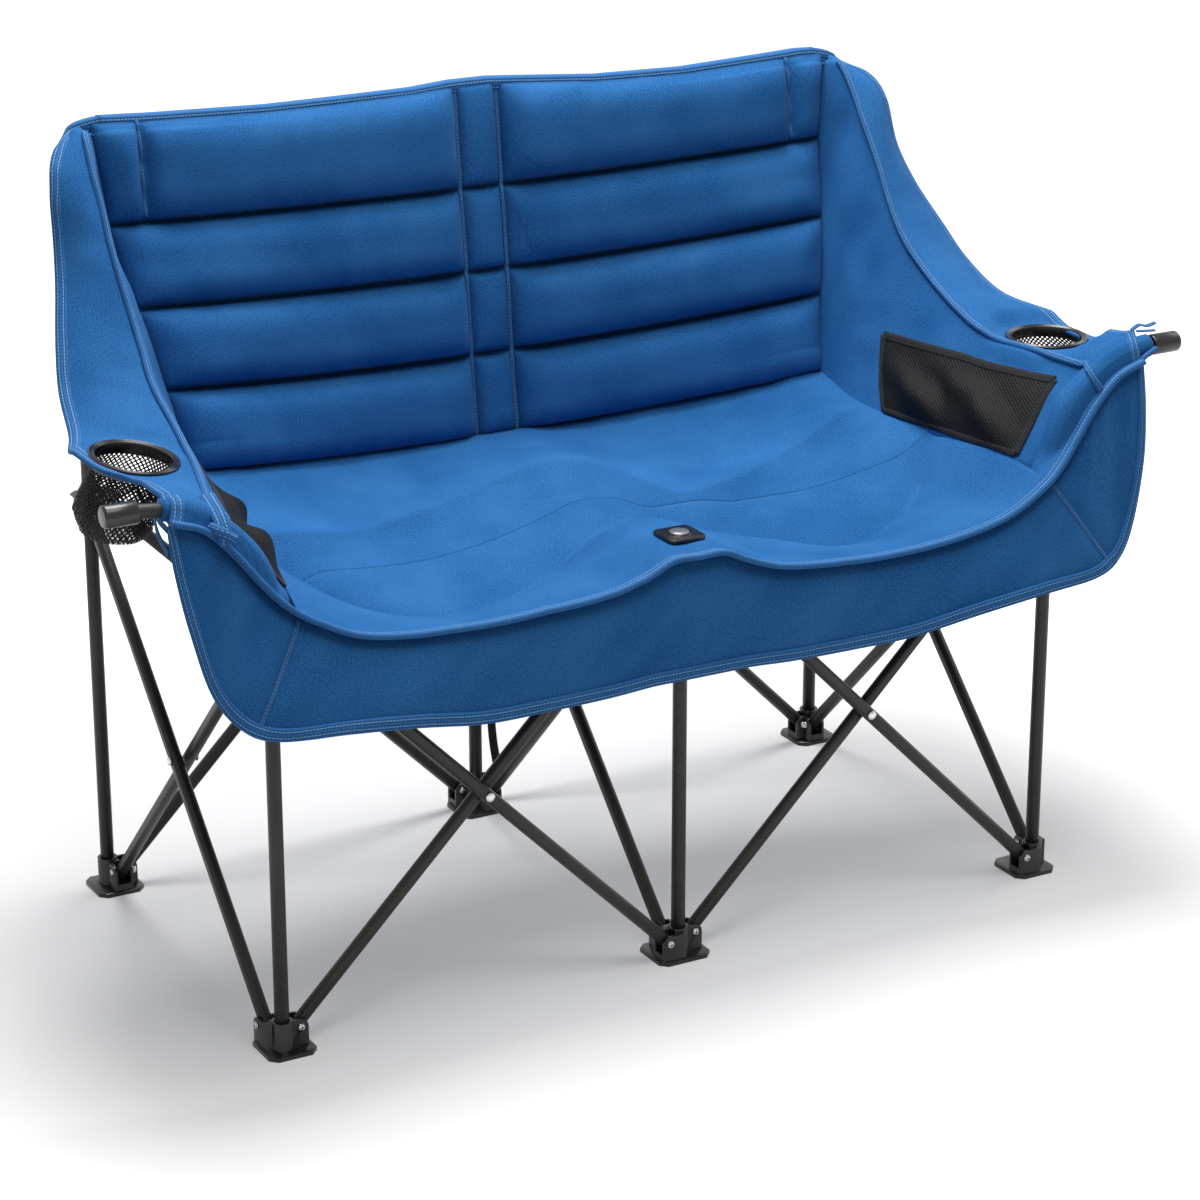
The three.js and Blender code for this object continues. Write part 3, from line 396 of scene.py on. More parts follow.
left_hem_shares = outer_hem_shares[:9] + [(0.95, 0.375, 0.368), (0.9, 0.255, 0.368), (0.74, 0.185, 0.368),
                                          (0.71, 0.055, 0.366)]
outer_hem, left_hem, piping, side_foot = (
    np.array(shares) * (arm_spread, depth, back_rise) + (bay, 0, hub_pivot_height)
    for shares in (outer_hem_shares, left_hem_shares, piping_shares, side_foot_shares))
rim, skirt_hem = (np.array(shares) * (bay, -skirt_depth, skirt_drop) + (0, 0, hub_pivot_height)
                  for shares in (rim_shares, skirt_hem_shares))
print("the lines reach out to", outer_hem[:, 0].max().round(3), "and forward to", skirt_hem[:, 1].min().round(3))

# %% [markdown]
# Every panel is a grid of points between two of these lines. One helper turns a grid into a mesh
# whose UV map is measured along its rows and columns, so the weave keeps its size on every panel.

# %% Helpers for cloth
def unit(vectors):
    return vectors / np.maximum(np.linalg.norm(vectors, axis=-1, keepdims=True), 1e-9)


def eased(share):
    """A share from 0 to 1 with a soft start and a soft end."""
    return share**2 * (3 - 2 * share)


def on_table(table, places):
    """The values of a table of (place, value) pairs at some places."""
    table = np.array(table)
    return np.interp(places, table[:, 0], table[:, 1])


def raised(points, lift):
    return points + upwards * lift[..., None]


def grid_normals(grid):
    return unit(np.cross(np.gradient(grid, axis=1), np.gradient(grid, axis=0)))


def run_lengths(grid, axis):
    steps = np.linalg.norm(np.diff(grid, axis=axis), axis=2)
    return np.concatenate([np.zeros_like(np.take(steps, [0], axis)), np.cumsum(steps, axis)], axis)


def metres_on(grid):
    """UV places in metres, along a grid's rows and columns."""
    return np.stack([run_lengths(grid, 1), run_lengths(grid, 0)], axis=2).reshape(-1, 2)


def between(upper, lower, rows):
    share = np.linspace(0, 1, rows)[:, None, None]
    return upper[None] * (1 - share) + lower[None] * share


def mirrored(points):
    """Both halves of a line or grid that starts in the middle plane."""
    flipped = points * np.array([-1, 1, 1])
    return np.concatenate([flipped[..., :0:-1, :], points], axis=-2)


def rough(grid, size, seed):
    """Smooth noise from -1 to 1 over the grid's points, with waves of the given size."""
    flat = [noise.noise(Vector(p / size) + Vector((seed, 0, 0))) for p in grid.reshape(-1, 3)]
    return np.array(flat).reshape(grid.shape[:2])


def new_piece(name, vertices, faces, uvs, layer, material):
    mesh = bpy.data.meshes.new(name)
    mesh.from_pydata(vertices.tolist(), [], faces)
    uv_layer = mesh.uv_layers.new(name=layer)
    corners = np.empty(len(mesh.loops), int)
    mesh.loops.foreach_get("vertex_index", corners)
    uv_layer.data.foreach_set("uv", uvs[corners].astype(np.float32).ravel())
    mesh.polygons.foreach_set("use_smooth", [True] * len(mesh.polygons))
    mesh.materials.append(material)
    return new_object(name, mesh)


def grid_faces(rows, columns, start=0, flip=False):
    faces = []
    for r in range(rows - 1):
        for c in range(columns - 1):
            a = start + r * columns + c
            quad = (a, a + 1, a + columns + 1, a + columns)
            faces.append(quad[::-1] if flip else quad)
    return faces


def only(piece):
    bpy.ops.object.select_all(action="DESELECT")
    piece.select_set(True)
    bpy.context.view_layer.objects.active = piece


def apply_modifier(piece, kind, **settings):
    only(piece)
    modifier = piece.modifiers.new(kind, kind)
    for key, value in settings.items():
        setattr(modifier, key, value)
    bpy.ops.object.modifier_apply(modifier=modifier.name)


def cloth_sheet(name, grid, thickness, material, layer="cloth"):
    """A sheet of cloth from a grid of points, with the grid in its middle layer."""
    rows, columns = grid.shape[:2]
    piece = new_piece(name, grid.reshape(-1, 3), grid_faces(rows, columns), metres_on(grid), layer, material)
    apply_modifier(piece, "SOLIDIFY", thickness=thickness, offset=0)
    return piece


def pad(name, front, rear, material, crisp=False):
    """A closed pad between two grids, the front one's faces pointing out of it. Crisp edges keep the
    shading of its front free of its sides."""
    rows, columns = front.shape[:2]
    count = rows * columns
    faces = grid_faces(rows, columns) + grid_faces(rows, columns, count, True)
    ring = [r * columns for r in range(rows)] + [(rows - 1) * columns + c for c in range(1, columns)]
    ring += [r * columns + columns - 1 for r in range(rows - 2, -1, -1)] + list(range(columns - 2, 0, -1))
    for a, b in zip(ring, ring[1:] + ring[:1]):
        faces.append((a, b, b + count, a + count))
    piece = new_piece(name, np.concatenate([front.reshape(-1, 3), rear.reshape(-1, 3)]), faces,
                      np.tile(metres_on(front), (2, 1)), "cloth", material)
    outwards(piece)
    if crisp:
        broad = len(grid_faces(rows, columns)) * 2
        piece.data.polygons.foreach_set("use_smooth", [i < broad for i in range(len(piece.data.polygons))])
    return piece


def paint_seam_shade(piece, depths):
    """Stores how deep each vertex lies in a seam, which sets how much painted shade the woven material puts there."""
    layer = piece.data.attributes.new("seam_depth", "FLOAT", "POINT")
    layer.data.foreach_set("value", np.asarray(depths, np.float32))


def outwards(piece):
    """Turns every face of a closed mesh out."""
    shell = bmesh.new()
    shell.from_mesh(piece.data)
    bmesh.ops.recalc_face_normals(shell, faces=shell.faces)
    shell.to_mesh(piece.data)
    shell.free()


def strip(name, line, across, normal, width, thickness, material, layer="seam", sides=12, power=0.55):
    """A flat band with rounded sides along a line: a hem, a binding, a strap or piping."""
    turn = np.linspace(0, 2 * math.pi, sides, endpoint=False)
    wide, high = (np.sign(wave) * np.abs(wave) ** power for wave in (np.cos(turn), np.sin(turn)))
    width, thickness = (np.broadcast_to(size, len(line))[:, None, None] for size in (width, thickness))
    rings = (line[:, None] + across[:, None] * wide[None, :, None] * width / 2
             + normal[:, None] * high[None, :, None] * thickness / 2)
    count = len(line)
    along = np.concatenate([[0], np.cumsum(np.linalg.norm(np.diff(line, axis=0), axis=1))])
    uvs = np.stack([np.repeat(along, sides), np.tile(wide / 2 + 0.5, count)], axis=1)
    faces = [(r * sides + s, r * sides + (s + 1) % sides, (r + 1) * sides + (s + 1) % sides, (r + 1) * sides + s)
             for r in range(count - 1) for s in range(sides)]
    faces += [tuple(range(sides)), tuple(range((count - 1) * sides, count * sides))]
    piece = new_piece(name, rings.reshape(-1, 3), faces, uvs, layer, material)
    outwards(piece)
    return piece


def tangents(line):
    return unit(np.gradient(line, axis=0))


def laid(grid, rows, columns):
    """The points of a grid at fractional rows and columns."""
    rows, columns = np.broadcast_arrays(np.asarray(rows, float), np.asarray(columns, float))
    r = np.clip(rows.astype(int), 0, grid.shape[0] - 2)
    c = np.clip(columns.astype(int), 0, grid.shape[1] - 2)
    a, b = (rows - r)[:, None], (columns - c)[:, None]
    near, far = (grid[r, column] * (1 - a) + grid[r + 1, column] * a for column in (c, c + 1))
    return near * (1 - b) + far * b


def seam_on(name, grid, rows, columns, width, thickness, lift):
    """A stitched cord of cloth laid on a grid along a path of rows and columns."""
    line, normal = laid(grid, rows, columns), unit(laid(grid_normals(grid), rows, columns))
    across = unit(np.cross(tangents(line), normal))
    return strip(name, placed(line + normal * lift), across, normal, width, thickness, hem_cloth, power=0.85)


def measured(grid):
    """A grid's longest row and column, and its area, for the cut of a sheet."""
    across, down = grid[1:, 1:] - grid[:-1, :-1], grid[1:, :-1] - grid[:-1, 1:]
    area = np.linalg.norm(np.cross(across, down), axis=2).sum() / 2
    row, column = run_lengths(grid, 1)[:, -1].max(), run_lengths(grid, 0)[-1].max()
    return (round(float(row), 3), round(float(column), 3)), float(area)


def cut(piece, cutter):
    """Takes a cutter's shape out of a piece, and removes the cutter."""
    apply_modifier(piece, "BOOLEAN", object=cutter, operation="DIFFERENCE", solver="EXACT")
    bpy.data.objects.remove(cutter, do_unlink=True)


trims = {"wing_left": [], "wing_right": [], "skirt": [], "back": []}


def sew(panel, name, line, across, normal, width, thickness, material=hem_cloth, **how):
    """A strip that belongs to one panel of the cover."""
    trims[panel].append(strip(name, placed(line), across, normal, width, thickness, material, **how))


print("helpers for cloth are ready")

# %% [markdown]
# The back is a quilted pad: four rows of filling in each half, with a narrow strip down the middle.
# Each row swells like a pillow between its seams and is drawn in at its ends, and the cloth gathers
# into small puckers where the thread pulls it. The pad is a dense grid, pushed out by a height that
# is worked out from the distance to the nearest seam.

# %% Shape of the seat and back
back_line, back_foot_z, back_height, back_pad = 0.451, 0.533, 0.427, 0.014
foot_blend, foot_tuck, tuck_reach = 0.08, 0.005, 0.02
back_top = back_foot_z + back_height
strip_half, corner_seam = 0.0285, 0.447
row_shares = (0, 0.244, 0.485, 0.726, 1)
seat_inset, seat_setback, seat_side_rise = 0.024, 0.0044, 0.028
side_height = side_foot[:7][::-1]
seat_corner = (bay - seat_inset, rim[0][1] + seat_setback, hub_pivot_height + seat_side_rise)
seat_side = np.concatenate([[seat_corner], side_foot[6:11][::-1]])
top_from, top_reach = 0.85, 0.10
plate_half, plate_front, plate_reach = 0.1, -0.006, 0.022
rim_back, rim_reach, rim_low, rim_fade = 0.12, 0.14, 0.38, 0.06
top_edge = [(-0.53, 0.016), (-0.509, 0.0155), (-0.426, 0.011), (-0.278, 0.006), (-0.178, 0.0065), (-0.086, 0.0075),
            (-0.032, 0.0115), (0.02, 0.0115), (0.1, 0.005), (0.172, -0.001), (0.296, -0.004), (0.427, 0.001),
            (0.468, 0.003), (0.52, 0.001)]
rim_rise = [(-0.5, 0), (-0.42, 0.004), (-0.32, 0.009), (-0.2, 0.009), (-0.12, 0.002), (-0.07, -0.0045),
            (0.08, -0.006), (0.13, -0.003), (0.2, 0), (0.5, 0)]


def top_drawn(points):
    """Raises and lowers what lies near the top edge, which sags between the poles."""
    share = np.clip((points[..., 2] - top_from) / top_reach, 0, 1)
    return raised(points, on_table(top_edge, points[..., 0]) * eased(share))


def rim_drawn(points):
    """Raises and lowers what lies near the front rim: a dip before the switch, and a tighter left bay."""
    x, y, z = points[..., 0], points[..., 1], points[..., 2]
    over_plate = np.abs(x) < plate_half
    share = np.clip(np.where(over_plate, (plate_front - y) / plate_reach, (rim_back - y) / rim_reach), 0, 1)
    return raised(points, on_table(rim_rise, x) * (eased(share) * np.clip((z - rim_low) / rim_fade, 0, 1)))


def read_line(line, axis, values):
    """The points of a line at places along one axis, in which it never turns back."""
    order = np.argsort(line[:, axis])
    return np.stack([np.interp(values, line[order, axis], line[order, k]) for k in range(3)], axis=-1)


smooth_height = curve_through(side_height, np.linspace(0, 6, 70))
smooth_seat_side = curve_through(seat_side, np.linspace(0, 5, 80))
smooth_rim = curve_through(rim, np.linspace(0, 13, 400))
seat_end = seat_side[-1]


def foot_of_back(across):
    across = np.asarray(across)
    return np.stack([across * seat_end[0], back_line + (seat_end[1] - back_line) * across**2,
                     back_foot_z + (seat_end[2] - back_foot_z) * across**2], axis=-1)


def back_base(across, along):
    """The back's seam plane. Across runs from 0 in the middle to 1 at the wing, along from foot to top."""
    foot = foot_of_back(across)
    z = foot[:, 2][None] + along[:, None] * (back_top - foot[:, 2])[None]
    side = read_line(smooth_height, 2, z.ravel()).reshape(*z.shape, 3)
    top_middle = depth - post_radius - seam_gap - back_pad
    middle = back_line + (top_middle - back_line) * along[:, None]
    y = middle + (side[..., 1] - middle) * across[None]**2
    blend = np.clip(along[:, None] / foot_blend, 0, 1)
    y = foot[:, 1][None] * (1 - blend) + y * blend
    return np.stack([across[None] * (side[..., 0] - seam_gap), y, z], axis=2)


back_columns, back_rows = 110, 156
half_across = np.linspace(0, 1, back_columns)
back_along = np.linspace(-0.045, 1, back_rows)
back_grid = mirrored(back_base(half_across, back_along))
back_grid[..., 1] += foot_tuck * np.clip(-back_along / tuck_reach, 0, 1)[:, None]
print("back", back_grid[..., 0].max().round(3), "half wide,", back_top, "high")

# %% Quilting of the back
strip_fill = 0.42
strip_pull, wing_pull, inner_pull, corner_pull = 0.016, 0.02, 0.012, 0.009


def pillow(share, sharpness=3.6):
    """A row's swell, fullest a little below its middle, where the filling has settled."""
    return 1 - np.abs(2 * share**0.88 - 1) ** sharpness


def drawn_in(distance, reach):
    """0 on a seam, rising to 1 as the cloth leaves it."""
    return 1 - np.exp(-(np.abs(distance) / reach) ** 1.3)


def quilted_height(grid, along):
    x = grid[..., 0]
    z_share = np.broadcast_to(along[:, None], x.shape)
    height = np.zeros_like(x)
    seam_distance = np.abs(z_share) * back_height
    for low, high in zip(row_shares, row_shares[1:]):
        inside = (z_share >= low) & (z_share <= high)
        share = (z_share - low) / (high - low)
        height = np.where(inside, pillow(np.clip(share, 0, 1)), height)
        edge = np.minimum(np.abs(z_share - low), np.abs(z_share - high)) * back_height
        seam_distance = np.where(inside, edge, seam_distance)
    beside_strip = np.abs(np.abs(x) - strip_half)
    beside_wing = grid[..., 0].max(axis=1)[:, None] - np.abs(x)
    in_strip = np.abs(x) < strip_half
    quilt = height * drawn_in(beside_strip, strip_pull) * drawn_in(beside_wing, wing_pull)
    quilt = np.where(in_strip, strip_fill * height * drawn_in(beside_strip, inner_pull), quilt)
    top_row = z_share > row_shares[3]
    quilt *= np.where(top_row, drawn_in(np.abs(x) - corner_seam, corner_pull), 1)
    seams = np.minimum(np.minimum(seam_distance, beside_strip), beside_wing)
    return quilt, seams


def puckers(grid, seams, size=0.019, deep=0.0032, stretch=0.35, fade=0.022, seed=3.0):
    """Short folds that run away from a seam and fade."""
    return deep * rough(grid * np.array([1, stretch, stretch]), size, seed) * np.exp(-seams / fade)


pillow_height, valley_depth, valley_reach = 0.0255, 0.007, 0.0045
quilt, back_seams = quilted_height(back_grid, back_along)
back_normals = grid_normals(back_grid)
back_height_field = (pillow_height * quilt - valley_depth * np.exp(-(back_seams / valley_reach) ** 2)
                     + puckers(back_grid, back_seams) * np.clip(back_seams / 0.004, 0, 1)
                     + 0.0022 * rough(back_grid, 0.09, 8.0) * np.clip(back_seams / 0.02, 0, 1))
back_front = top_drawn(back_grid + back_normals * back_height_field[..., None])
back_rear = top_drawn(back_grid - back_normals * (back_pad - 0.004 + 0.003 * quilt)[..., None])
back_cushion = pad("quilted_back", placed(back_front), placed(back_rear), blue_cloth)
# Painted shade along the seams: how close each point lies to a seam, which the woven material darkens there.
back_seam_shade = np.exp(-(back_seams.ravel() / 0.0038) ** 2)
paint_seam_shade(back_cushion, np.concatenate([back_seam_shade, 0 * back_seam_shade]))
print("quilted back has", len(back_cushion.data.polygons), "faces")

# %% [markdown]
# The narrow strip and the corner fields are set in with corded seams that stand up from the valleys.
# Each cord is laid along a path of rows and columns of the back's own grid, so it follows every dip.

# %% Corded seams of the back
def columns_at(x, rows):
    return [np.interp(x, back_grid[row, :, 0], np.arange(back_grid.shape[1])) for row in rows]


cord_lift = 0.0012
top_row = int(np.argmax(back_along > row_shares[3]))
cords = (("strip", strip_half, 6, 0.0055, 0.0048), ("corner", corner_seam, top_row + 2, 0.0045, 0.004))
back_cords = []
for side, word in both_sides:
    for kind, x, first, width, thickness in cords:
        rows = np.arange(first, back_rows - 1)
        back_cords.append(seam_on(kind + "_seam_" + word, back_front, rows, columns_at(side * x, rows),
                                  width, thickness, cord_lift))
print("made", len(back_cords), "corded seams")

# %% [markdown]
# The seat is a padded sling. It hangs lower in each bay than over the middle leg, with one long crease
# that stands up where the sitter's weight has pushed the cloth back, and a valley before it. Both are
# lines of places: the height rises to the one and falls to the other.

# %% Shape of the seat
seat_split, seat_thickness, seat_dish = 0.5, 0.007, 0.026
crease_height, valley_drop = 0.018, 0.030
crease_behind, crease_before, fold_reach, fold_round = 0.11, 0.034, 0.05, 0.002
hub_half, hub_front, hub_fade = 0.04, 0.05, 0.03
edge_fade, plate_clear, plate_fade = 0.05, 0.04, 0.06
switch_x, switch_y = 0.008, 0.018
crease_line = [(-0.50, 0.235), (-0.40, 0.243), (-0.31, 0.249), (-0.2, 0.281), (-0.09, 0.3), (0, 0.292),
               (0.07, 0.262), (0.12, 0.222), (0.151, 0.219), (0.226, 0.239), (0.298, 0.26),
               (0.4, 0.283), (0.5, 0.318)]
fold_line = [(-0.50, 0.26), (-0.42, 0.21), (-0.365, 0.135), (-0.31, 0.1), (-0.21, 0.095), (-0.09, 0.125),
             (0.01, 0.165), (0.08, 0.185), (0.2, 0.142), (0.25, 0.095), (0.31, 0.078), (0.37, 0.098),
             (0.45, 0.15), (0.52, 0.215)]


def seat_base(across, along):
    """The seat's top. Across is from the middle plane to the side foot, along from the rim to the back."""
    foot = foot_of_back(across)
    front = read_line(smooth_rim, 0, across * seat_side[0][0])
    along, across = along[:, None], across[None]
    y = (front[:, 1] + seat_setback)[None] * (1 - along) + foot[:, 1][None] * along
    side = read_line(smooth_seat_side, 1, y.ravel()).reshape(*y.shape, 3)
    side_straight = seat_side[0][2] * (1 - along) + seat_end[2] * along
    edge = across**4 * (side[..., 2] - side_straight)
    over_hub = np.where(across * seat_side[0][0] <= hub_half, np.clip((y - hub_front) / hub_fade, 0, 1), 1)
    sag = seat_dish * over_hub * np.sin(math.pi * along) * np.sin(math.pi * across**1.2)
    straight = front[:, 2][None] * (1 - along * over_hub) + foot[:, 2][None] * along * over_hub
    return np.stack([across * side[..., 0], y, straight - sag + edge], axis=2)


seat_columns, seat_rows = 100, 130
seat_grid = mirrored(seat_base(np.linspace(0, 1, seat_columns), np.linspace(0, 1, seat_rows)))
seat_x, seat_y = seat_grid[..., 0], seat_grid[..., 1]
to_crease, to_fold = (seat_y - on_table(line, seat_x) for line in (crease_line, fold_line))
inner = np.clip((seat_x.max(axis=1)[:, None] - np.abs(seat_x)) / edge_fade, 0, 1)
from_rim = np.clip((seat_y - seat_y[:1]) / edge_fade, 0, 1)
off_plate = np.clip((np.hypot(seat_x - switch_x, seat_y - switch_y) - plate_clear) / plate_fade, 0, 1)
crease = np.where(to_crease > 0, np.exp(-to_crease / crease_behind), np.exp(to_crease / crease_before))
valley = np.exp(-np.sqrt(to_fold**2 + fold_round**2) / fold_reach)
seat_height_field = inner * from_rim * off_plate * (
    crease_height * crease - valley_drop * valley + 0.0035 * rough(seat_grid, 0.13, 21.0)
    + 0.0012 * rough(seat_grid, 0.035, 5.0))
seat_top = rim_drawn(raised(seat_grid, seat_height_field))
split_row = round(seat_split * (seat_rows - 1))


def seat_half(name, rows, gap):
    top = seat_top[rows].copy()
    top[0, :, 1] += gap
    return pad(name, placed(top), placed(top - upwards * seat_thickness), blue_cloth, crisp=True)


seat_front = seat_half("seat_pad_front", slice(0, split_row + 1), 0)
seat_rear = seat_half("seat_pad_rear", slice(split_row, seat_rows), 0.00005)
print("seat halves meet at row", split_row)

# %% [markdown]
# A side wing is one panel from the hem over the arm down to the seat. Above the piping it is the padded
# arm band that carries the cup holder, and below it the plain inside of the armrest.

# %% Side wings
wing_places = np.linspace(0, 12, 160)
pipe_curve, foot_curve = (curve_through(line, wing_places) for line in (piping, side_foot))
band_rows, panel_rows = 12, 24
panel = between(pipe_curve, foot_curve, panel_rows + 1)
print("panel", panel.shape[:2])

# %% [markdown]
# In front the wing goes on over the arm bar to the rim of the skirt, so that the bar lies in a fold
# of the cloth. The added points run straight to the rim, and then everything near the bar is
# lifted off it, as cloth that is drawn over a tube.

# %% The wing's front, drawn over the arm bar
arm_z = middle_of("arm_cap_right").z
bend_radius = 0.146
bend_centre = np.array([bay + bend_radius, 0, arm_z - bend_radius])
hem_end, piping_end, foot_end = 12.93, 11.4, 8.35
front_places = np.concatenate([np.linspace(hem_end, piping_end, band_rows + 1)[:-1],
                               np.linspace(piping_end, foot_end, panel_rows + 1)])
front_edge = curve_through(rim, front_places) + np.array([0, -0.001, -0.001])
front_columns = 16


def lifted_off_bar(grid, clearance=0.0115, slope=0.75, before=6.0, behind=0.5, level=0.006, past=0.0135,
                   soft=0.003, reach=0.05):
    """Moves the points near an arm bar out from it, on the side away from the bend's centre."""
    flat = grid - bend_centre
    straight = flat[..., 0] > 0
    radial = np.hypot(flat[..., 0], flat[..., 2])
    radial = np.where(straight, flat[..., 2], radial)
    height = radial - bend_radius
    out = np.where(straight[..., None], upwards, unit(flat * np.array([1, 0, 1])))
    y = grid[..., 1]
    needed = (clearance - slope * np.maximum(np.abs(y) - level, 0) - before * np.maximum(-y - past, 0)
              - behind * np.maximum(y - past, 0))
    push = soft * np.logaddexp(0, (needed - height) / soft)
    near = (grid[..., 2] > bend_centre[2]) & (grid[..., 0] > bay - reach) & (height > -reach)
    return grid + out * (push * near)[..., None]


def wing_half(hem, tuck=0.007, deeper_by=0.006, deeper_from=130, deeper_over=20):
    """A right-hand wing from its hem line: band, panel, front and a tuck under the seat's edge."""
    band = between(curve_through(hem, wing_places), pipe_curve, band_rows + 1)
    grid = np.concatenate([band[:-1], panel])
    share = np.linspace(0, 1, front_columns + 1)[None, 1:, None]
    front = grid[:, -1:, :] * (1 - share) + front_edge[:, None, :] * share
    grid = lifted_off_bar(np.concatenate([grid, front], axis=1))
    deeper = np.clip((np.arange(grid.shape[1]) - deeper_from) / deeper_over, 0, 1)[None, :, None]
    tucked = grid[-1:] + unit(grid[-1:] - grid[-3:-2]) * (tuck + deeper_by * deeper)
    return np.concatenate([grid, tucked])


wing_halves = {1: wing_half(outer_hem), -1: wing_half(left_hem)}
print("wing grid", wing_halves[1].shape[:2])


def on_side(points, side):
    """A right-hand grid or line, or its mirror image with the faces still turned up."""
    turned_over = points * np.array([side, 1, 1])
    return turned_over[..., ::-1, :] if side > 0 else turned_over


cup_reach, cup_fade, cup_level = 0.082, 0.026, 0.05
cup_leans = {1: (0.0, -0.02, 1.0), -1: (0.14, -0.12, 0.983)}
cup_shifts = {1: (0.005, -0.014, -0.008), -1: (-0.007, 0.020, 0.010)}


def cup_frame(side):
    """The place and axis of a cup holder: its CAD ring's, a little off, as the cloth holds each of them."""
    ring = middle_of("cup_ring_right" if side > 0 else "cup_ring_left") - Vector((0, front_y, 0))
    return np.array(ring) + np.array(cup_shifts[side]), unit(np.array(cup_leans[side]))


def seated(grid, side):
    """Draws the band into the plane of its cup holder, and lets it go again a little way off."""
    middle, axis = cup_frame(side)
    away = grid - middle
    off = away @ axis
    distance = np.linalg.norm(away - off[..., None] * axis, axis=2)
    share = np.clip((cup_reach - distance) / cup_fade, 0, 1)
    return raised(grid, -off / axis[2] * eased(share) * (np.abs(off) < cup_level))


def wing_grid(side, puffed=0.006, folded=0.006, creased=0.002, wrinkled=0.0014):
    """A wing with its padded band, its folds and its wrinkles, which give the heights in metres."""
    grid = on_side(wing_halves[side], side)
    normals = grid_normals(grid)
    row = np.arange(len(grid))[:, None]
    in_band = np.clip(row / band_rows, 0, 1)
    in_panel = np.clip((row - band_rows) / panel_rows, 0, 1)
    from_front = np.arange(grid.shape[1])[::1 if side > 0 else -1]
    held = np.clip(from_front / 12, 0, 1) * np.clip((grid.shape[1] - 1 - from_front) / 10, 0, 1)
    puff = puffed * np.sin(math.pi * in_band) * (row < band_rows)
    ends = np.minimum(in_panel, 1 - in_panel) * 2
    folds = np.clip(ends * 1.5, 0, 1) * (folded * rough(grid, 0.11, 12.0 + side)
                                         + creased * rough(grid, 0.04, 2.0 * side))
    small = wrinkled * rough(grid, 0.03, 30.0 + side) * (row < band_rows) * (row > 0)
    grid = top_drawn(grid + normals * (held * (puff + folds + small))[..., None])
    grid[:band_rows + 4] = seated(grid[:band_rows + 4], side)
    return grid, grid_normals(grid)


hole_radius, hole_height = 0.0485, 0.09
wing_thickness, skirt_thickness, net_thickness = 0.004, 0.0035, 0.0012
wings, wing_grids = {}, {}
for side, word in both_sides:
    wing_grids[side] = wing_grid(side)
    wings[side] = cloth_sheet("wing_" + word, placed(wing_grids[side][0]), wing_thickness, blue_cloth)
    middle, axis = cup_frame(side)
    turn = upright.rotation_difference(Vector(axis)).to_euler()
    bpy.ops.mesh.primitive_cylinder_add(vertices=64, radius=hole_radius, depth=hole_height,
                                        location=placed([middle])[0], rotation=turn)
    cut(wings[side], bpy.context.object)
    print("wing", word, "has", len(wings[side].data.polygons), "faces")

# %% [markdown]
# The front skirt hangs from the rim and hides the hubs. It bellies out a little, and near each arm a
# gusset seam gives it its corner.

# %% Skirt
skirt_rows, skirt_belly, skirt_tuck = 36, 0.007, 0.008
skirt_shift = 0.002 * backwards
gusset_foot, gusset_lean, place_length = 8.55, 0.22, 0.045
gusset_half, swell_place, swell_half = 0.010, 0.026, 0.016
skirt_places = np.linspace(0, 13, 170)
rim_curve, skirt_hem_curve = curve_through(rim, skirt_places), curve_through(skirt_hem, skirt_places)
skirt_half = between(skirt_hem_curve, rim_curve, skirt_rows)
drop = np.minimum(1, np.linalg.norm(skirt_hem_curve - rim_curve, axis=1) / skirt_drop)
rise = np.linspace(0, 1, skirt_rows)[:, None]
skirt_half[..., 1] -= skirt_belly * np.sin(math.pi * rise) * drop[None]
skirt_half[..., 1] += skirt_tuck * np.clip((rise - 0.82) / 0.18, 0, 1) ** 2
skirt_grid = mirrored(skirt_half)


def gusset_place(rise):
    """Where the gusset seam crosses the skirt, counted along its lines."""
    return gusset_foot - gusset_lean * rise


free = np.sin(math.pi * rise) ** 0.7 * np.concatenate([drop[:0:-1], drop])[None]
from_gusset = (skirt_places[None] - gusset_place(rise)) * place_length
swell = np.exp(-((np.abs(from_gusset) - swell_place) / swell_half) ** 2)
gusset_fold = np.exp(-(from_gusset / gusset_half) ** 2) - 0.7 * swell
gusset_fold = np.concatenate([gusset_fold[:, :0:-1], gusset_fold], axis=1)
waves = free * (0.004 * rough(skirt_grid, 0.16, 40.0) + 0.0012 * rough(skirt_grid, 0.045, 41.0) - 0.0035 * gusset_fold)
skirt_grid = rim_drawn(skirt_grid + grid_normals(skirt_grid) * waves[..., None])
skirt = cloth_sheet("skirt", placed(skirt_grid + skirt_shift), skirt_thickness, blue_cloth)
print("skirt spans", round(skirt_grid[..., 0].max() * 2, 3))

# %% [markdown]
# All raw edges are turned under and stitched. A hem is a flat tube of cloth that wraps the panel's
# edge; the piping where band and panel meet is the same thing, rounder. Both follow the grid's own
# rows, so they sit on the cloth wherever it bulges.

# %% Hems and piping
top_line = back_front[-1] * 0.5 + back_rear[-1] * 0.5
hem_lift, turn_length, lead_count, lead_skip = 0.004, 26, 8, 5
top_half, lead_from, lead_to = 0.497, 0.474, 0.500


def evened(values, last, passes=10):
    """Runs a line's first entries together, so that the strip on it turns a corner without a kink."""
    values = values.copy()
    for _ in range(passes):
        values[1:last] = (values[:last - 1] + values[1:last] * 2 + values[2:last + 1]) / 4
    return values


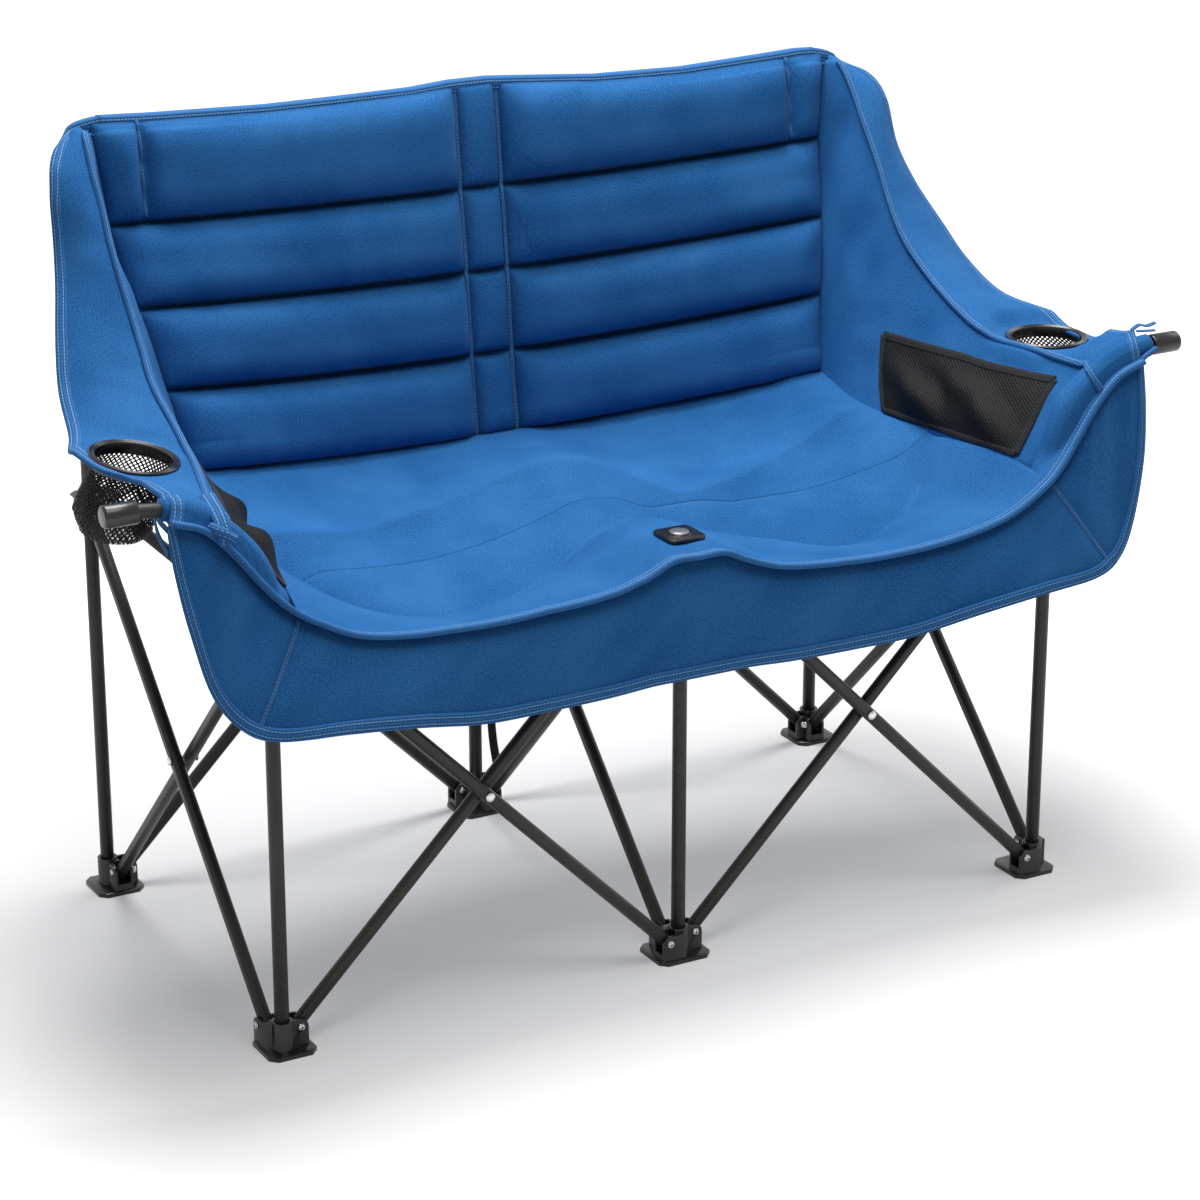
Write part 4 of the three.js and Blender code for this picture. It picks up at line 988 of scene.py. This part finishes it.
def wing_hem(side):
    """The hem's line from inside the back's top hem, round the corner and along the wing to the arm's end,
    with its directions and how far it has turned from the back's plane."""
    grid, normals = wing_grids[side]
    way = slice(None, None, -1 if side > 0 else 1)
    line, across, normal = grid[0][way], unit(grid[1] - grid[0])[way], normals[0][way]
    lead = read_line(top_line, 0, side * np.linspace(lead_from, lead_to, lead_count)) - hem_lift * upwards
    line = evened(np.concatenate([lead, (line + across * hem_lift)[lead_skip:]]), turn_length)
    turned = eased(np.clip((np.arange(len(line)) - 6) / turn_length, 0, 1)[:, None])
    normal, across = (np.concatenate([np.repeat(way[lead_skip:lead_skip + 1], lead_count, axis=0), way[lead_skip:]])
                      for way in (normal, across))
    along = tangents(line)
    normal = -backwards * (1 - turned) + normal * turned
    normal = unit(normal - along * (normal * along).sum(axis=1, keepdims=True))
    across = unit(side * np.cross(along, normal) * (1 - turned) + across * turned)
    return line, across, normal, turned[:, 0]


for side, word in both_sides:
    grid, normals = wing_grids[side]
    line, across, normal, turned = wing_hem(side)
    sew("wing_" + word, "hem_wing_" + word, line, across, normal, 0.018 - 0.0025 * turned, 0.0115 - 0.005 * turned)
    whole = slice(0, -8) if side > 0 else slice(8, None)
    normal = normals[band_rows][whole]
    sew("wing_" + word, "piping_" + word, grid[band_rows][whole] + normal * 0.003,
        unit(grid[band_rows + 1] - grid[band_rows - 1])[whole], normal, 0.0095, 0.008, power=0.85)
skirt_across = unit(skirt_grid[1] - skirt_grid[0])
sew("skirt", "hem_skirt", skirt_grid[0] + skirt_across * 0.005, skirt_across, grid_normals(skirt_grid)[0],
    0.016, 0.006)
rim_line = skirt_grid[-1] - 0.008 * backwards
lip_across = np.broadcast_to(unit(np.array([0, -0.97, 0.12])), rim_line.shape)
sew("skirt", "lip_of_seat", rim_line + lip_across * hem_lift, lip_across,
    unit(np.cross(tangents(rim_line), lip_across)), 0.018, 0.0075)
middle_column = len(skirt_places) - 1
for side, word in both_sides:
    rows = np.linspace(1.5, 33.5, 40)
    columns = middle_column * (1 + side * gusset_place(rows / (skirt_rows - 1)) / skirt_places[-1])
    trims["skirt"].append(seam_on("gusset_seam_" + word, skirt_grid + skirt_shift, rows, columns,
                                  0.006, 0.0035, 0.002))
print("made", sum(len(pieces) for pieces in trims.values()), "hems and pipings")

# %% [markdown]
# The back's top edge is a wide hem from corner to corner.

# %% Top hem of the back
top_line = top_line[np.abs(top_line[:, 0]) < top_half]
to_end = top_line[-1, 0] - np.abs(top_line[:, 0])
top_across, top_normal = (np.broadcast_to(way, top_line.shape) for way in (upwards, -backwards))
sew("back", "hem_back_top", top_line - top_across * hem_lift, top_across, top_normal,
    0.0185, np.interp(to_end, [0, 0.03], [0.0125, 0.0165]), power=0.5)
print("top hem at", top_line[:, 2].max().round(3))

# %% [markdown]
# A mesh pocket hangs inside each armrest. Its top edge is bound with black tape and stands a little
# open, and the net bags out at the foot.

# %% Mesh pockets
pocket_top = [(6.85, 0.52), (8.8, 0.29), (10.95, 0.21)]
pocket_foot = [(7.6, 0.985), (8.95, 0.985), (10.65, 0.985)]


def pocket_grid(side, rows=34, columns=44, bagged=0.014, sagged=0.0075, off_wing=0.004):
    c = np.linspace(0, 1, columns)
    r = np.linspace(0, 1, rows)[:, None]
    top, foot = ([np.interp(c, (0, 0.5, 1), values) for values in zip(*edge)] for edge in (pocket_top, pocket_foot))
    place, down = (top[k][None] * (1 - r) + foot[k][None] * r for k in (0, 1))
    top_edge, foot_edge = (curve_through(line, place.ravel()).reshape(rows, columns, 3)
                           for line in (piping, side_foot))
    flat = on_side(top_edge * (1 - down[..., None]) + foot_edge * down[..., None], side)
    c = c[None]
    bag = bagged * np.sin(math.pi * r**1.6) * np.sin(math.pi * c) ** 0.7
    sag = sagged * np.sin(math.pi * r**1.5) * np.sin(math.pi * c) ** 0.6 * np.sin(
        2 * math.pi * (2.1 * c + 0.9 * r) + 1.2 * rough(flat, 0.05, 50.0 + side))
    return flat + grid_normals(flat) * (off_wing + bag + sag)[..., None]


pockets = {}
for side, word in both_sides:
    grid = pocket_grid(side)
    net = cloth_sheet("pocket_" + word, placed(grid), net_thickness, pocket_mesh)
    turned_grid, normals = grid.transpose(1, 0, 2), grid_normals(grid)
    turned_normals = normals.transpose(1, 0, 2)
    tapes = [("top", grid, normals, 0, 1, 0.011, 0.0035), ("foot", grid, normals, -1, -2, 0.008, 0.003),
             ("front", turned_grid, turned_normals, 0, 1, 0.009, 0.003),
             ("rear", turned_grid, turned_normals, -1, -2, 0.009, 0.003)]
    edges = [strip("pocket_tape_%s_%s" % (place, word), placed(rows[edge]), unit(rows[inner_row] - rows[edge]),
                   out[edge], width, thickness, black_binding)
             for place, rows, out, edge, inner_row, width, thickness in tapes]
    pockets[side] = (net, edges)
print("made two mesh pockets with bound edges")

# %% [markdown]
# A cup holder is a stiff black ring with a net bag that tapers to a flat foot. Both are turned: a
# profile is drawn in edit mode and spun round the axis, then the finished shape is set in the band.

# %% Cup holders
def spun(name, profile, steps, material, closed=False, layer=None, cut_length=0.26):
    """Spins a profile of (radius, height) points round the Z axis in edit mode. The UV map, if it has one,
    is as wide as the cut cloth is long."""
    bpy.ops.mesh.primitive_plane_add(size=1)
    piece = bpy.context.object
    piece.name = name
    mesh = bpy.data.meshes.new(name)
    count = len(profile)
    edges = [(i, i + 1) for i in range(count - 1)] + ([(count - 1, 0)] if closed else [])
    mesh.from_pydata([(r, 0, z) for r, z in profile], edges, [])
    piece.data = mesh
    only(piece)
    bpy.ops.object.mode_set(mode="EDIT")
    bpy.ops.mesh.select_all(action="SELECT")
    bpy.ops.mesh.spin(steps=steps, angle=2 * math.pi, center=(0, 0, 0), axis=(0, 0, 1))
    bpy.ops.mesh.select_all(action="SELECT")
    bpy.ops.mesh.remove_doubles(threshold=merge_distance)
    bpy.ops.mesh.normals_make_consistent(inside=False)
    bpy.ops.object.mode_set(mode="OBJECT")
    if layer:
        uv = piece.data.uv_layers.new(name=layer)
        for loop in piece.data.loops:
            point = piece.data.vertices[loop.vertex_index].co
            around = math.atan2(point.y, point.x) / (2 * math.pi) * cut_length
            uv.data[loop.index].uv = (around, point.z - math.hypot(point.x, point.y))
    piece.data.materials.append(material)
    return piece


def stood_at(piece, place, axis=(0, 0, 1)):
    """Sets a piece made on the Z axis at its place, and leaves its object at the origin."""
    turn = upright.rotation_difference(Vector(axis)).to_matrix().to_4x4()
    piece.data.transform(Matrix.Translation(Vector(place)) @ turn)
    return piece


def smooth_by_angle(piece, degrees=35):
    only(piece)
    bpy.ops.object.shade_smooth_by_angle(angle=math.radians(degrees))


ring_profile = [
    (0.0436, -0.009), (0.0446, -0.0096), (0.0478, -0.009), (0.0484, -0.0006), (0.0494, 0.0012), (0.0508, 0.0022),
    (0.0513, 0.0034), (0.0509, 0.0046), (0.0498, 0.0052), (0.0487, 0.0047), (0.0480, 0.0036), (0.0468, 0.0034),
    (0.0459, 0.0042), (0.0449, 0.0048), (0.0439, 0.0043), (0.0433, 0.003),
]
bag_profile = [(0.0, -0.084), (0.014, -0.0845), (0.026, -0.0838), (0.034, -0.0815), (0.0392, -0.0765),
               (0.0428, -0.07), (0.0462, -0.057), (0.0475, -0.043), (0.0472, -0.028), (0.0462, -0.014),
               (0.0455, -0.005)]
bag_depth, bag_swing, bag_forward = 0.084, 0.017, 0.008
dent_size, dent_depth = 0.02, 0.004
cups = {}
for side, word in both_sides:
    middle, axis = cup_frame(side)
    base = placed([middle])[0]
    ring = stood_at(spun("cup_rim_" + word, ring_profile, 96, nylon, closed=True), base, axis)
    bag = stood_at(spun("cup_net_" + word, bag_profile, 64, bag_mesh, layer="cloth"), base, axis)
    for vertex in bag.data.vertices:
        fallen = max(0.0, (base[2] - vertex.co.z) / bag_depth)
        share = min(1.0, fallen * 2)
        dent = noise.noise(vertex.co / dent_size) * dent_depth * share
        vertex.co += Vector((side * bag_swing * share**1.5 + dent, -bag_forward * fallen, 0))
    apply_modifier(bag, "SOLIDIFY", thickness=net_thickness, offset=-1)
    smooth_by_angle(ring, 50)
    smooth_by_angle(bag, 60)
    cups[side] = (ring, bag)
print("made two cup holders")

# %% [markdown]
# The cover is held up by sleeves: one over the top of each rear pole, and one round the straight end
# of each arm bar. They are short tubes of the same cloth, sewn to the panel.

# %% Sleeves
def pole_sleeve(name, x):
    low, high = 0.860, 0.9468
    profile = [(0.0095, low + 0.001), (0.0102, low), (0.0112, low), (0.0117, low + 0.002), (0.0118, high - 0.004),
               (0.0105, high - 0.001), (0.006, high), (0.0, high)]
    piece = spun(name, profile, 32, hem_cloth, layer="seam")
    return stood_at(piece, placed([(x, depth, 0)])[0])


sleeve_ends = {-1: 80, 1: 88}
sleeve_widths = {-1: [0.0245] * 3, 1: [0.0245, 0.0285, 0.0285]}
for side, word in both_sides:
    trims["wing_" + word].append(pole_sleeve("pole_sleeve_" + word, side * bay))
    turn = np.linspace(math.radians(48), math.radians(sleeve_ends[side]), 16)
    bend = np.stack([bay + bend_radius * (1 - np.cos(turn)), 0 * turn, arm_z - bend_radius * (1 - np.sin(turn))],
                    axis=1)
    line = bend * np.array([side, 1, 1])
    collar = np.interp(np.degrees(turn), [70, 76, 88], sleeve_widths[side])
    rearwards = np.broadcast_to(backwards, line.shape)
    sew("wing_" + word, "arm_sleeve_" + word, line, unit(np.cross(tangents(line), rearwards)), rearwards,
        collar, collar, blue_cloth, layer="cloth", sides=24, power=1.0)
trims["back"].append(pole_sleeve("pole_sleeve_centre", 0))
print("made five sleeves")

# %% [markdown]
# Loose ends show where the cover is tied to the arm bars: on the left the end of the piping is folded
# over the rim and two short straps hold the skirt's corner, and on the right two tails stand up.

# %% Loose ends at the arms
def ribbon(name, points, wide, width, thickness, power=0.55, material=hem_cloth):
    """A short strap through a few points, its broad side along the given direction."""
    line = curve_through(points, np.linspace(0, len(points) - 1, 18))
    along = tangents(line)
    normal = unit(np.cross(along, np.broadcast_to(unit(np.array(wide, float)), line.shape)))
    return strip(name, placed(line), unit(np.cross(normal, along)), normal, width, thickness, material, power=power)


trims["wing_left"] += [
    ribbon("piping_end", [(-0.572, 0.034, 0.662), (-0.578, 0.012, 0.664), (-0.581, -0.017, 0.656),
                          (-0.582, -0.034, 0.641), (-0.580, -0.033, 0.629)], (1, 0, 0.2), 0.017, 0.005),
    ribbon("piping_fold", [(-0.594, -0.022, 0.646), (-0.584, -0.034, 0.641), (-0.571, -0.037, 0.632)],
           (0, 0.3, 1), 0.0125, 0.0105, 1.0),
    ribbon("corner_strap_upper", [(-0.634, 0.030, 0.655), (-0.637, 0.012, 0.650), (-0.637, -0.010, 0.646)],
           (0.1, 0, 1), 0.008, 0.0016),
    ribbon("corner_strap_lower", [(-0.633, 0.036, 0.648), (-0.638, 0.014, 0.634), (-0.638, -0.012, 0.620)],
           (0.1, 0, 1), 0.009, 0.0016)]
trims["wing_right"] += [
    ribbon("rim_tip", [(0.634, -0.019, 0.6535), (0.645, -0.018, 0.661), (0.655, -0.016, 0.665),
                       (0.664, -0.0135, 0.668)], (0, -1, 0.3), 0.0075, 0.0065, 1.0),
    ribbon("tail_upper", [(0.645, 0.012, 0.687), (0.655, 0.010, 0.693), (0.665, 0.008, 0.691),
                          (0.677, 0.006, 0.694)], (0, 1, 0.3), 0.006, 0.0016),
    ribbon("tail_lower", [(0.648, 0.006, 0.687), (0.660, 0.003, 0.6865), (0.673, 0.001, 0.686)],
           (0, 1, 0.3), 0.005, 0.0016)]
rear_strap = ribbon("rear_strap", [(0.012, depth - 0.015, 0.33), (0.0125, depth - 0.0155, 0.2),
                                   (0.0165, depth - 0.016, 0.11), (0.0235, depth - 0.015, 0.06)],
                    (1, 0, 0), 0.012, 0.0018, material=black_binding)
print("made eight loose ends")

# %% [markdown]
# Rigid parts that the CAD frame already shapes well are refined rather than made again: a copy of the
# node's mesh is merged, its flat faces are joined, and a small bevel rounds every edge, as a moulding
# or a deburred tube has.

# %% Refined copies of CAD nodes
def refined(node, name, width, material, angle=38, segments=2):
    """A merged and bevelled copy of a CAD node's mesh, which replaces the node."""
    source = bpy.data.objects[node]
    mesh = source.data.copy()
    piece = new_object(name, mesh)
    mesh.transform(source.matrix_world)
    mesh.materials.clear()
    mesh.materials.append(material)
    only(piece)
    bpy.ops.object.mode_set(mode="EDIT")
    bpy.ops.mesh.select_all(action="SELECT")
    bpy.ops.mesh.remove_doubles(threshold=merge_distance)
    bpy.ops.mesh.dissolve_limited(angle_limit=math.radians(1))
    bpy.ops.object.mode_set(mode="OBJECT")
    apply_modifier(piece, "BEVEL", width=width, segments=segments, limit_method="ANGLE",
                   angle_limit=math.radians(angle))
    smooth_by_angle(piece, angle)
    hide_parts(node)
    return piece


body_of_node = {node: body for body, nodes in frame["record"]["behaviour"]["bodies"].items() for node in nodes}
finishes = {("foot_", "hub_"): ("_moulding", 0.0007, nylon),
            ("cross_tube_", "lower_post_", "back_pole_", "arm_bar_"): ("_coated", 0.0003, tube_coat),
            ("arm_cap_", "switch_plate"): ("_moulding", 0.0006, nylon),
            ("switch_button",): ("_moulding", 0.0006, button_metal)}
for node_name in sorted(frame["nodes"]):
    for starts, (ending, bevel, material) in finishes.items():
        if node_name.startswith(starts):
            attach(refined(node_name, node_name + ending, bevel, material), body_of_node[node_name])

# %% [markdown]
# Silver fixings hold the frame together: a domed rivet where two tubes cross, and a cross-head screw
# through each tube's end. Both are turned once on the Z axis and copied. Where a screw sits is read
# from the tube, whose middle line runs from one screw to the other.

# %% Rivets and screws
def copied(template, name, place, axis):
    return stood_at(new_object(name, template.data.copy()), place, axis)


def dome(radius, height, base, under=0.0006, steps=7):
    """A crowned head's profile, from the axis to its rim and back in under it."""
    turn = np.linspace(0, math.pi / 2, steps)
    return [(radius * math.sin(a), base + height * math.cos(a)) for a in turn] + [(0.0, base - under)]


screw_radius, screw_height, screw_sunk = 0.0047, 0.0021, 0.0012
slot_size, slot_height = (0.0056, 0.0011, 0.0024), 0.002
rivet_height, rivet_sunk = 0.0026, 0.0024
end_to_pivot, moulding_half, moulding_bore = 0.007, 0.022, 0.0048
rivet_low, rivet_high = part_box("rivet_front_left")
rivet_reach = (rivet_high[1] - rivet_low[1]) / 2
rivet_radius = (rivet_high[0] - rivet_low[0]) / 2
rivet_head = spun("rivet_head", dome(rivet_radius, rivet_height, rivet_reach - rivet_sunk), 32, steel)
screw_head = spun("screw_head", dome(screw_radius, screw_height, 0.0), 28, steel)
for turned in (0, math.pi / 2):
    bpy.ops.mesh.primitive_cube_add(size=1, location=(0, 0, slot_height), rotation=(0, 0, turned), scale=slot_size)
    cut(screw_head, bpy.context.object)
for head in (rivet_head, screw_head):
    smooth_by_angle(head, 40)

for node_name in sorted(frame["nodes"]):
    if node_name.startswith("rivet_"):
        low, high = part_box(node_name)
        axis = Vector((0, 1, 0) if high[1] - low[1] > high[0] - low[0] else (1, 0, 0))
        for ending, way in (("_head_a", axis), ("_head_b", -axis)):
            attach(copied(rivet_head, node_name + ending, middle_of(node_name), way), body_of_node[node_name])
        slots = bpy.data.objects[node_name].data.materials
        slots.clear()
        slots.append(steel)


def points_of(node):
    flat = np.empty(len(bpy.data.objects[node].data.vertices) * 3)
    bpy.data.objects[node].data.vertices.foreach_get("co", flat)
    return flat.reshape(-1, 3)


def put_screws(node, tube, pivot, pin):
    """A screw head on each side of the moulding that holds a tube's end."""
    away = points_of(node) - pivot
    along = away @ pin
    from_axis = np.linalg.norm(away - along[:, None] * pin, axis=1)
    beside = (from_axis < moulding_bore) & (np.abs(along) < moulding_half)
    if not beside.any():
        return 0
    for word, way, reach in (("a", 1, along[beside].max()), ("b", -1, -along[beside].min())):
        name = "screw_" + node + "_" + tube.split("_to_")[0 if node.startswith("hub") else 1] + "_" + word
        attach(copied(screw_head, name, pivot + pin * way * (reach - screw_sunk), pin * way), body_of_node[node])
    return 2


screws = 0
for tube in sorted(n for n in frame["nodes"] if n.startswith("cross_tube_")):
    points = points_of(tube)
    middle = (points.min(axis=0) + points.max(axis=0)) / 2
    axis = np.linalg.svd(points - middle, full_matrices=False)[2][0]
    axis = axis * np.sign(axis[2])
    half = (points @ axis).max() - middle @ axis - end_to_pivot
    pin = backwards if abs(axis[0]) > abs(axis[1]) else np.array([1.0, 0, 0])
    tube_name = tube[len("cross_tube_"):]
    for kind, end, way in zip(("foot_", "hub_"), tube_name.split("_to_"), (-1, 1)):
        screws += put_screws(kind + end, tube_name, middle + axis * half * way, pin)
for head in (rivet_head, screw_head):
    bpy.data.objects.remove(head, do_unlink=True)
print("made", screws, "screw heads")

# %% [markdown]
# Each piece rides on the body that carries it in the frame, and every cloth piece gets a mesh of its own.
# The frame folds across its width and its depth, and the cloth can't follow that.


def crumple(pieces, body):
    for piece in pieces:
        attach(piece, body)
        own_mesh(piece)


top_hem, centre_sleeve = trims["back"]
crumple([back_cushion, top_hem] + back_cords, "upper_rear_centre")
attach(centre_sleeve, "upper_rear_centre")
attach(rear_strap, "leg_rear_centre")
crumple([seat_front], "seat_front")
crumple([seat_rear], "seat_rear")
crumple([skirt] + trims["skirt"], "upper_front_centre")
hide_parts("front_skirt")
for piece, node, fill in ((back_cushion, "back_panel", 0.5), (seat_front, "seat_front_half", 0.3),
                          (seat_rear, "seat_rear_half", 0.3)):
    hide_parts(node)
for side, word in both_sides:
    net, edges = pockets[side]
    trim = trims["wing_" + word]
    crumple([wings[side], net] + edges + trim, "upper_front_" + word)
    for piece, node in zip(cups[side], ("cup_ring_", "cup_bag_")):
        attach(piece, "cup_holder_" + word)
        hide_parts(node + word)
    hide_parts("side_wing_" + word)
    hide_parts("mesh_pocket_" + word)
    flat, area = measured(wing_grids[side][0])
    flat, area = measured(pocket_grid(side))
flat, area = measured(skirt_grid)
print("everything rides on a body")

# %% End of the script
print("done")
